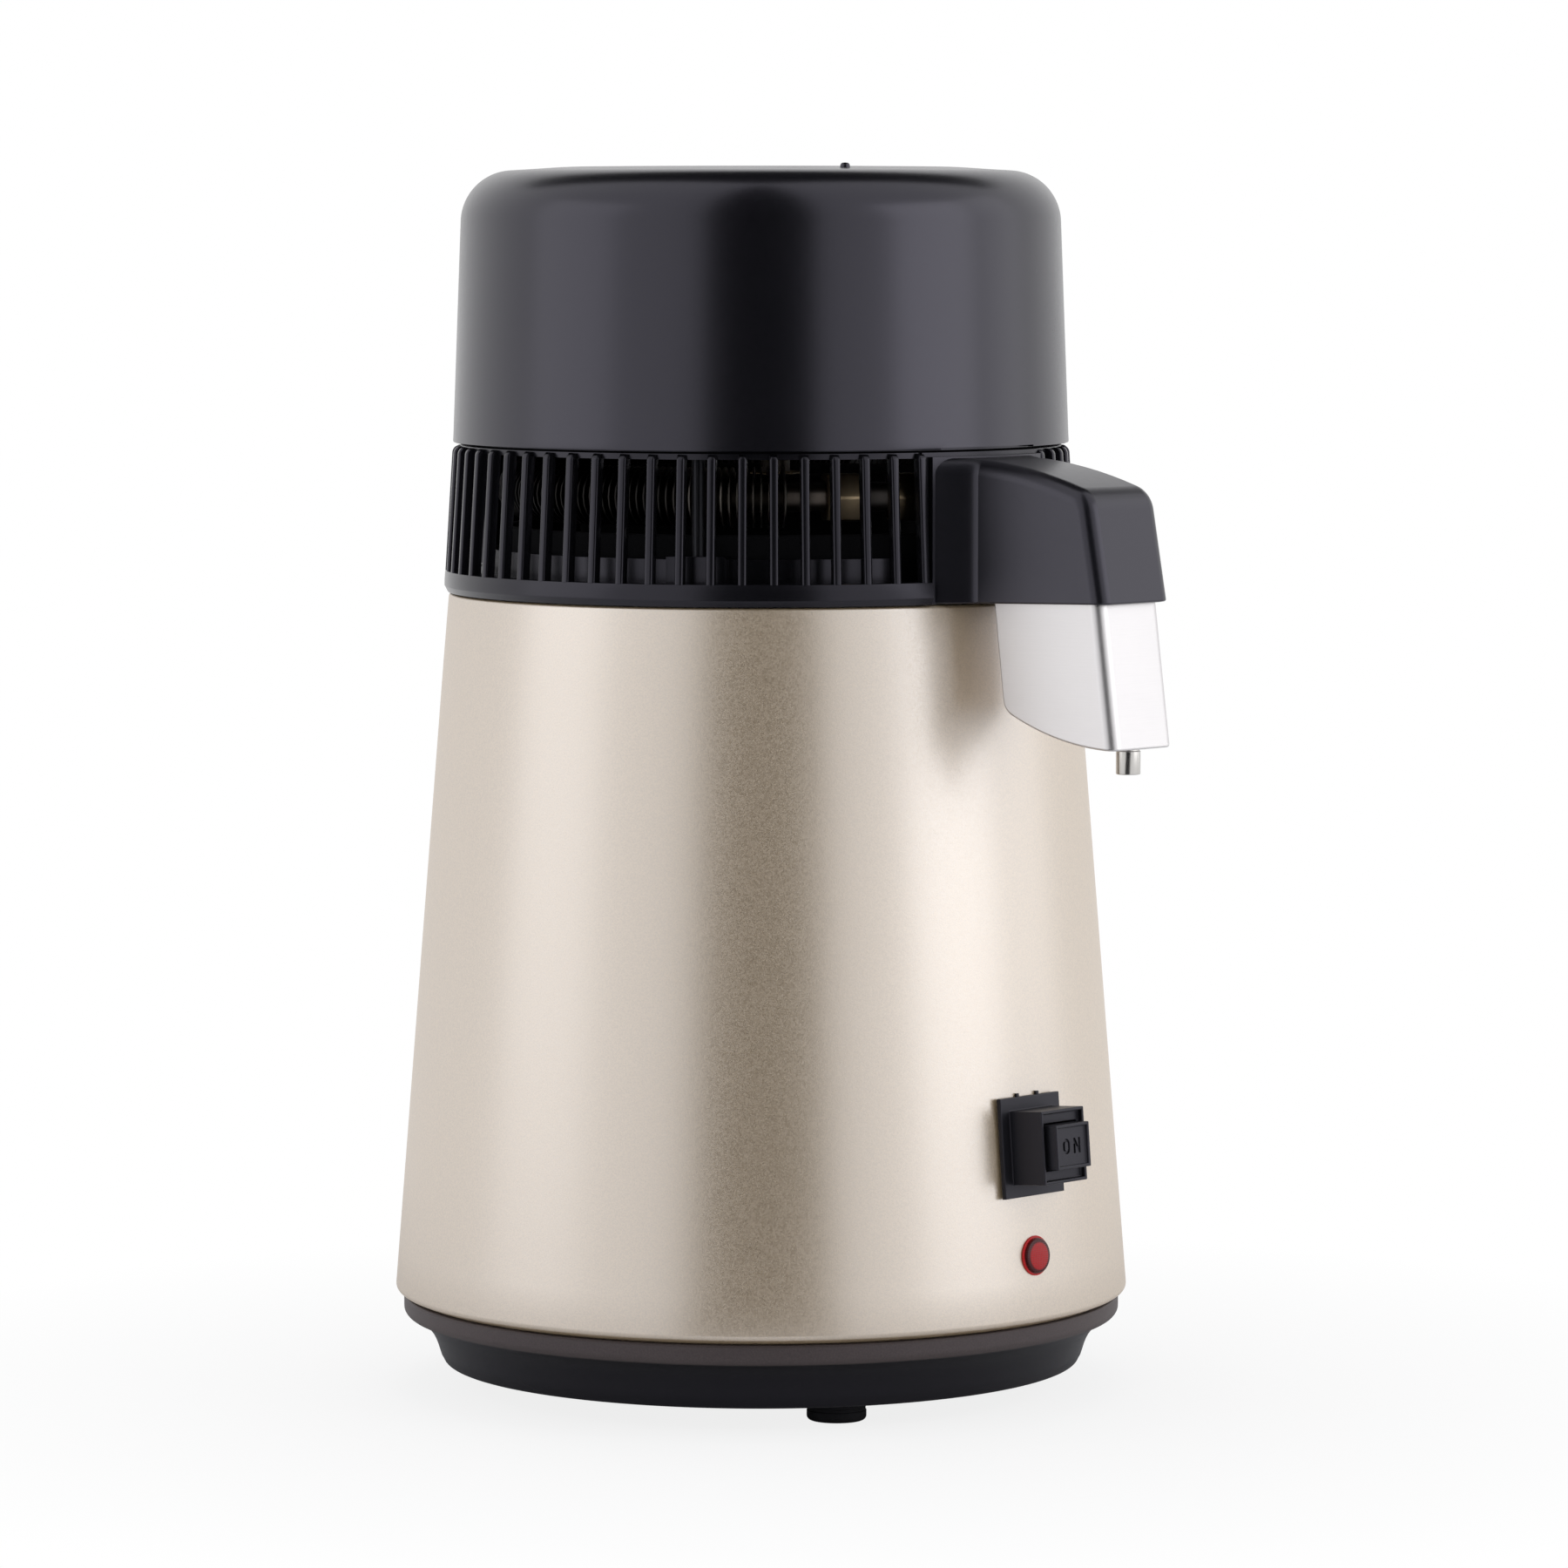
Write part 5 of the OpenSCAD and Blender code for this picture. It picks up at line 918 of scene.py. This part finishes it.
# %% Make the outlet tube and the nuts
OUTLET_TURN = math.radians(LOWER_END - 180)
OUTLET_BEND, DROP_BEND, OUTLET_LOW = 14, 12, 259.5
CUP_DEPTH, OUTLET_SHARE = 40.9, 0.58
outlet_run = COIL_R / math.tan(OUTLET_TURN) - OUTLET_BEND * math.tan(OUTLET_TURN / 2)
outlet_r = CUP_ROOT + CUP_DEPTH * OUTLET_SHARE
outlet = [turned_by(COIL_R, STUB, COIL_Z, LOWER_END)]
outlet += [turned_by(COIL_R + OUTLET_BEND * (1 - math.cos(a)), outlet_run + OUTLET_BEND * math.sin(a),
                     COIL_Z, LOWER_END) for a in parts(OUTLET_TURN, 10)]
outlet += [(0, -(outlet_r - DROP_BEND) - DROP_BEND * math.sin(a), COIL_Z - DROP_BEND * (1 - math.cos(a)))
           for a in parts(math.pi / 2, 10)]
outlet += [(0, -outlet_r, OUTLET_LOW)]
piece(moved(tube(outlet, TUBE_R, 24), AXIS), "outlet_tube_bent", SHADED_OUTLET_STEEL, "fan_head", ["outlet_tube"],
      40.0)
nuts = soften(cad_copy("union_nuts"), 0.6, long_edge(6.0), segments=2, clamp=True)
piece(nuts, "union_nuts_turned", BRASS, "fan_head", ["union_nuts"], even=True)

# %% [markdown]
# ## Wiring and return spring
# Inside the boiler, a bundle of wires runs from the mains inlet round to the switch, and a small
# spring returns the button. They hardly show, but the frame's solids for them are faceted, so both
# are drawn again on their own paths. The spring shortens when the button is pressed.

# %% Make the wiring and the spring
WIRE_R, WIRE_RISE, LOOM_R = 94.35, 7, 2.0
SWITCH_ASIDE, INLET_ASIDE = 4.5, 3.1
wire_start = math.degrees(math.asin(SWITCH_ASIDE / WIRE_R)) - 90
wire_end = 90 - math.degrees(math.asin(INLET_ASIDE / WIRE_R))
loom = [turned_by(WIRE_R, 0, SWITCH_Z + rise, wire_start + part)
        for part, rise in zip(parts(wire_end - wire_start, 60), parts(WIRE_RISE, 60))]
piece(moved(tube(loom, LOOM_R, 12), AXIS), "wiring_bundle", WIRE_JACKET, "boiler_base", ["wiring_loom"],
      40.0)
SPRING_R, SPRING_LOW, SPRING_SEAT, SPRING_RISE, SPRING_TURNS, SPRING_WIRE = 3.4, -6, 0.6, 9.8, 5, 0.4
coils = [(SPRING_R * math.cos(a), SPRING_R * math.sin(a), SPRING_LOW + SPRING_SEAT + rise)
         for a, rise in zip(parts(SPRING_TURNS * 2 * math.pi, 120), parts(SPRING_RISE, 120))]
spring_place = on_wall(SWITCH_Z)
spring = piece(moved(tube(coils, SPRING_WIRE, 10), spring_place), "return_spring_wound", ZINC_STEEL,
               "boiler_base", ["return_spring"], 40.0)
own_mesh(spring)

# %% [markdown]
# ## Boiling tank and the head's underside
# When the head is lifted off, the brushed inside of the tank, the white seal and the domed steam
# cover come into view. The tank is spun anew so that its corner is smooth. The other pieces are
# CAD copies, merged and smooth shaded.

# %% Make the tank and smooth the head's inner pieces
TANK_CORNER = (76, 72.8)
tank = [(0, 62.0)] + bend(*TANK_CORNER, 10.8, -90, 0, 10)
tank += [(86.8, 245.0), (93.1, 245.0), (93.5, 245.3), (93.4, 245.75), (93.0, 245.8), (86.8, 245.8),
         (86.2, 245.6), (86.0, 245.1)]
tank += bend(*TANK_CORNER, 10.0, 0, -90, 10) + [(0, 62.8)]
piece(moved(lathe(tank, 160), AXIS), "boiling_tank_drawn", TANK_STEEL, "boiler_base", ["boiling_tank"])

SMOOTHED = [
    ("steam_cover", TANK_STEEL, "fan_head", "stainless", 0.0),
    ("cover_gasket", SEAL_SILICONE, "fan_head", "seal_silicone", 0.5),
    ("finger_guard", RING_PLASTIC, "fan_head", "ring_plastic", 0.0),
    ("fan_frame", SOCKET_PLASTIC, "fan_head", "cap_plastic", 0.0),
    ("fan_impeller", SOCKET_PLASTIC, "fan_rotor", "cap_plastic", 0.0),
    ("tie_rods", ROD_STEEL, "fan_head", "element_steel", 0.0),
    ("steam_riser", TANK_STEEL, "fan_head", "stainless", 0.0),
    ("cord_gland", FOOT_RUBBER, "fan_head", "foot_rubber", 0.0),
    ("mains_inlet", SOCKET_PLASTIC, "boiler_base", "socket_plastic", 0.4),
    ("fan_socket", SOCKET_PLASTIC, "boiler_base", "socket_plastic", 0.4),
]
for node, finish, body, slot, radius in SMOOTHED:
    bm = cad_copy(node)
    if radius:
        soften(bm, radius, long_edge(10.0), segments=2, clamp=True)
    piece(bm, node + "_smooth", finish, body, [node], 30.0, True)

# %% [markdown]
# ## The head's floor and its felt
# A low wall stands on the floor of the head, just behind the slots. Its top shows through them, so a
# copy of the floor gets a rounded top there. Black felt lies on the steam cover and stands as a strip
# under the condenser, and a curtain of the same felt stands behind the rear slots. They are dark sheets
# put in as painted shade, and together they are why the slots look black.

# %% Make the floor and the felt
WALL_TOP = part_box("head_floor")[1].z / MM - 1.0
floor_part = cad_copy("head_floor")
soften(floor_part, 0.8, lambda e: middle(e).z > WALL_TOP - 0.3, clamp=True)
piece(floor_part, "head_floor_smooth", RING_PLASTIC, "fan_head", ["head_floor"], 40.0, True)
STRIP_TOP, CURTAIN_TURN, CURTAIN_END = 265.8, 100.0, 117.0
felt = soften(cad_copy("felt_pad"), 0.8, lambda e: middle(e).z > STRIP_TOP - 0.3, segments=2, clamp=True)
# The curtain is painted shade: a black sheet behind the rear slots.
curtain = [(88.4, 252.1), (89.4, 252.1), (89.4, 289.6), (89.1, 290.0), (88.7, 290.0), (88.4, 289.6)]
curtain = lathe(curtain, 64, CURTAIN_TURN, CURTAIN_END - CURTAIN_TURN, True)
piece(joined(felt, moved(curtain, AXIS)), "felt_pad_laid", SHADE_FELT, "fan_head", ["felt_pad"],
      40.0)

# %% [markdown]
# ## Finishes for the nodes that stay
# The small inner parts keep their CAD shape: screws, nuts, terminals, the heater. Each one still
# gets a finish of its own kind, because they show in a cutaway or when the head is off.

# %% Paint the nodes that stay
STAYING = [
    (ZINC_STEEL, ["foot_screws", "tank_studs", "stud_nuts", "hood_screws", "fan_screws", "rod_nuts",
                  "shield_spacers", "fan_bearings", "inlet_pins", "socket_pins"]),
    (ALUMINIUM, ["heat_spreader", "heat_shield", "thermal_cutout"]),
    (BRASS, ["element_terminals", "switch_terminals"]),
    (CREAM_PLASTIC, ["switch_block", "lamp_nut"]),
    (TUBE_STEEL, ["fan_shaft"]),
    (ELEMENT_STEEL, ["heating_element"]),
    (SOCKET_PLASTIC, ["lamp_holder"]),
    (COPPER_WINDING, ["fan_motor"]),
]
for finish, nodes in STAYING:
    for node in nodes:
        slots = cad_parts[node].data.materials
        slots.clear()
        slots.append(finish)
print("painted", sum(len(nodes) for _, nodes in STAYING), "nodes")

# %% [markdown]
# ## White studio
# The photograph is a cut-out on pure white. The world is white to the camera and to reflections, and
# dimmer as a lamp, so that colours keep their level. Tall soft boxes stand left and right, a narrow
# one lights the right rim, and one that no reflection sees hangs above.

# %% Light the studio
world = bpy.data.worlds.new("studio")
bpy.context.scene.world = world
world.use_nodes = True
world.node_tree.nodes.clear()
sky = Wire(world.node_tree)
ray = sky.node("ShaderNodeLightPath")
seen = ray.output("Is Camera Ray") + ray.output("Is Glossy Ray") + ray.output("Is Transmission Ray")
AMBIENT, AIM_Z = 0.58, 0.2
dim = sky.node("ShaderNodeBackground", None, {"Color": (0.95, 0.97, 1.0, 1.0), "Strength": AMBIENT})
white = sky.node("ShaderNodeBackground", None, {"Color": (1.0, 1.0, 1.0, 1.0), "Strength": 1.0})
both = sky.node("ShaderNodeMixShader", None, {0: sky.maths("MINIMUM", seen, 1.0), 1: dim, 2: white})
sky.node("ShaderNodeOutputWorld", None, {"Surface": both})


def soft_box(name, degrees, distance, height, size, watts):
    light = bpy.data.lights.new(name, "AREA")
    light.shape = "RECTANGLE"
    light.size, light.size_y = size
    light.energy = watts
    lamp = in_scene(name, light)
    way = Matrix.Rotation(math.radians(degrees), 3, "Z") @ toward_camera
    lamp.location = Vector((0, AXIS_Y, height)) + distance * way
    aim = Vector((0, AXIS_Y, AIM_Z)) - lamp.location
    lamp.rotation_euler = aim.to_track_quat("-Z", "Y").to_euler()
    return lamp


soft_box("left_box", -74, 1.5, 0.55, (1.0, 1.5), 2.6)
soft_box("right_box", 68, 1.5, 0.55, (1.0, 1.5), 5.0)
soft_box("rim_box", 102, 1.5, 0.55, (0.6, 1.5), 1.4)
soft_box("top_box", 180, 0.3, 1.9, (1.0, 1.0), 4).visible_glossy = False

# %% [markdown]
# ## Card and floor
# A dark card stands behind the camera and lies on the table in front: only reflections see it, and it
# draws the dark band down the middle of the paint and the cap. It goes on as a dark ceiling, because
# the round shoulder of the cap mirrors what is above and behind. The floor glows white away from the
# object and holds a soft shadow near it. Both are stage, not object.

# %% Make the card and the floor
def stage_piece(bm, name, finish):
    mesh = as_mesh(bm, name)
    mesh.materials.append(finish)
    return in_scene(name, mesh)


CARD_HALF, TABLE_Z, CARD_AWAY, CEILING_Z = 20.5, 3.0, 2600.0, 3600.0
card_start = math.degrees(math.atan2(toward_camera.y, toward_camera.x)) - CARD_HALF
front_card = lathe([(240.0, TABLE_Z), (CARD_AWAY, TABLE_Z), (CARD_AWAY, 3000.0), (0.0, CEILING_Z)],
                   24, 2 * CARD_HALF, card_start)
roof_card = lathe([(0.0, CEILING_Z), (3200.0, 2700.0)], 24, 2 * CARD_HALF + 60, card_start + 150)
card_finish, wire = start_finish("card_black")
end_finish(card_finish, wire, Base_Color=(0.012, 0.012, 0.014, 1.0), Roughness=0.9)
card = stage_piece(moved(joined(front_card, roof_card), AXIS), "dark_card", card_finish)
card.visible_camera = card.visible_diffuse = card.visible_shadow = card.visible_transmission = False

FLOOR_R = 6.0
SHADOW_FROM, SHADOW_TO, SHADOW_SHARE = 0.12, 0.34, 0.84
MIRROR_FROM, MIRROR_TO = 0.15, 0.70
floor_bm = bmesh.new()
bmesh.ops.create_circle(floor_bm, cap_ends=True, segments=64, radius=FLOOR_R)
floor_finish, wire = start_finish("floor_white")
paper = wire.node("ShaderNodeBsdfDiffuse", None, {"Color": (0.86, 0.86, 0.87, 1.0)})
glow = wire.node("ShaderNodeEmission", None, {"Color": (1.0, 1.0, 1.0, 1.0), "Strength": 1.0})
ray = wire.node("ShaderNodeLightPath")
spot = wire.node("ShaderNodeVectorMath", {"operation": "LENGTH"}, {0: object_place(wire)}, out="Value")
looked_at = wire.node("ShaderNodeMapRange", None,
                      {"Value": spot, "From Min": SHADOW_FROM, "From Max": SHADOW_TO,
                       "To Min": SHADOW_SHARE, "To Max": 1.0})
mirrored = wire.node("ShaderNodeMapRange", None,
                     {"Value": spot, "From Min": MIRROR_FROM, "From Max": MIRROR_TO})
direct = ray.output("Is Camera Ray") * looked_at + ray.output("Is Glossy Ray") * mirrored
mixed = wire.node("ShaderNodeMixShader", None, {0: wire.maths("MINIMUM", direct, 1.0), 1: paper, 2: glow})
wire.node("ShaderNodeOutputMaterial", None, {"Surface": mixed})
floor = stage_piece(floor_bm, "studio_floor", floor_finish)
print("stage ready")

# %% [markdown]
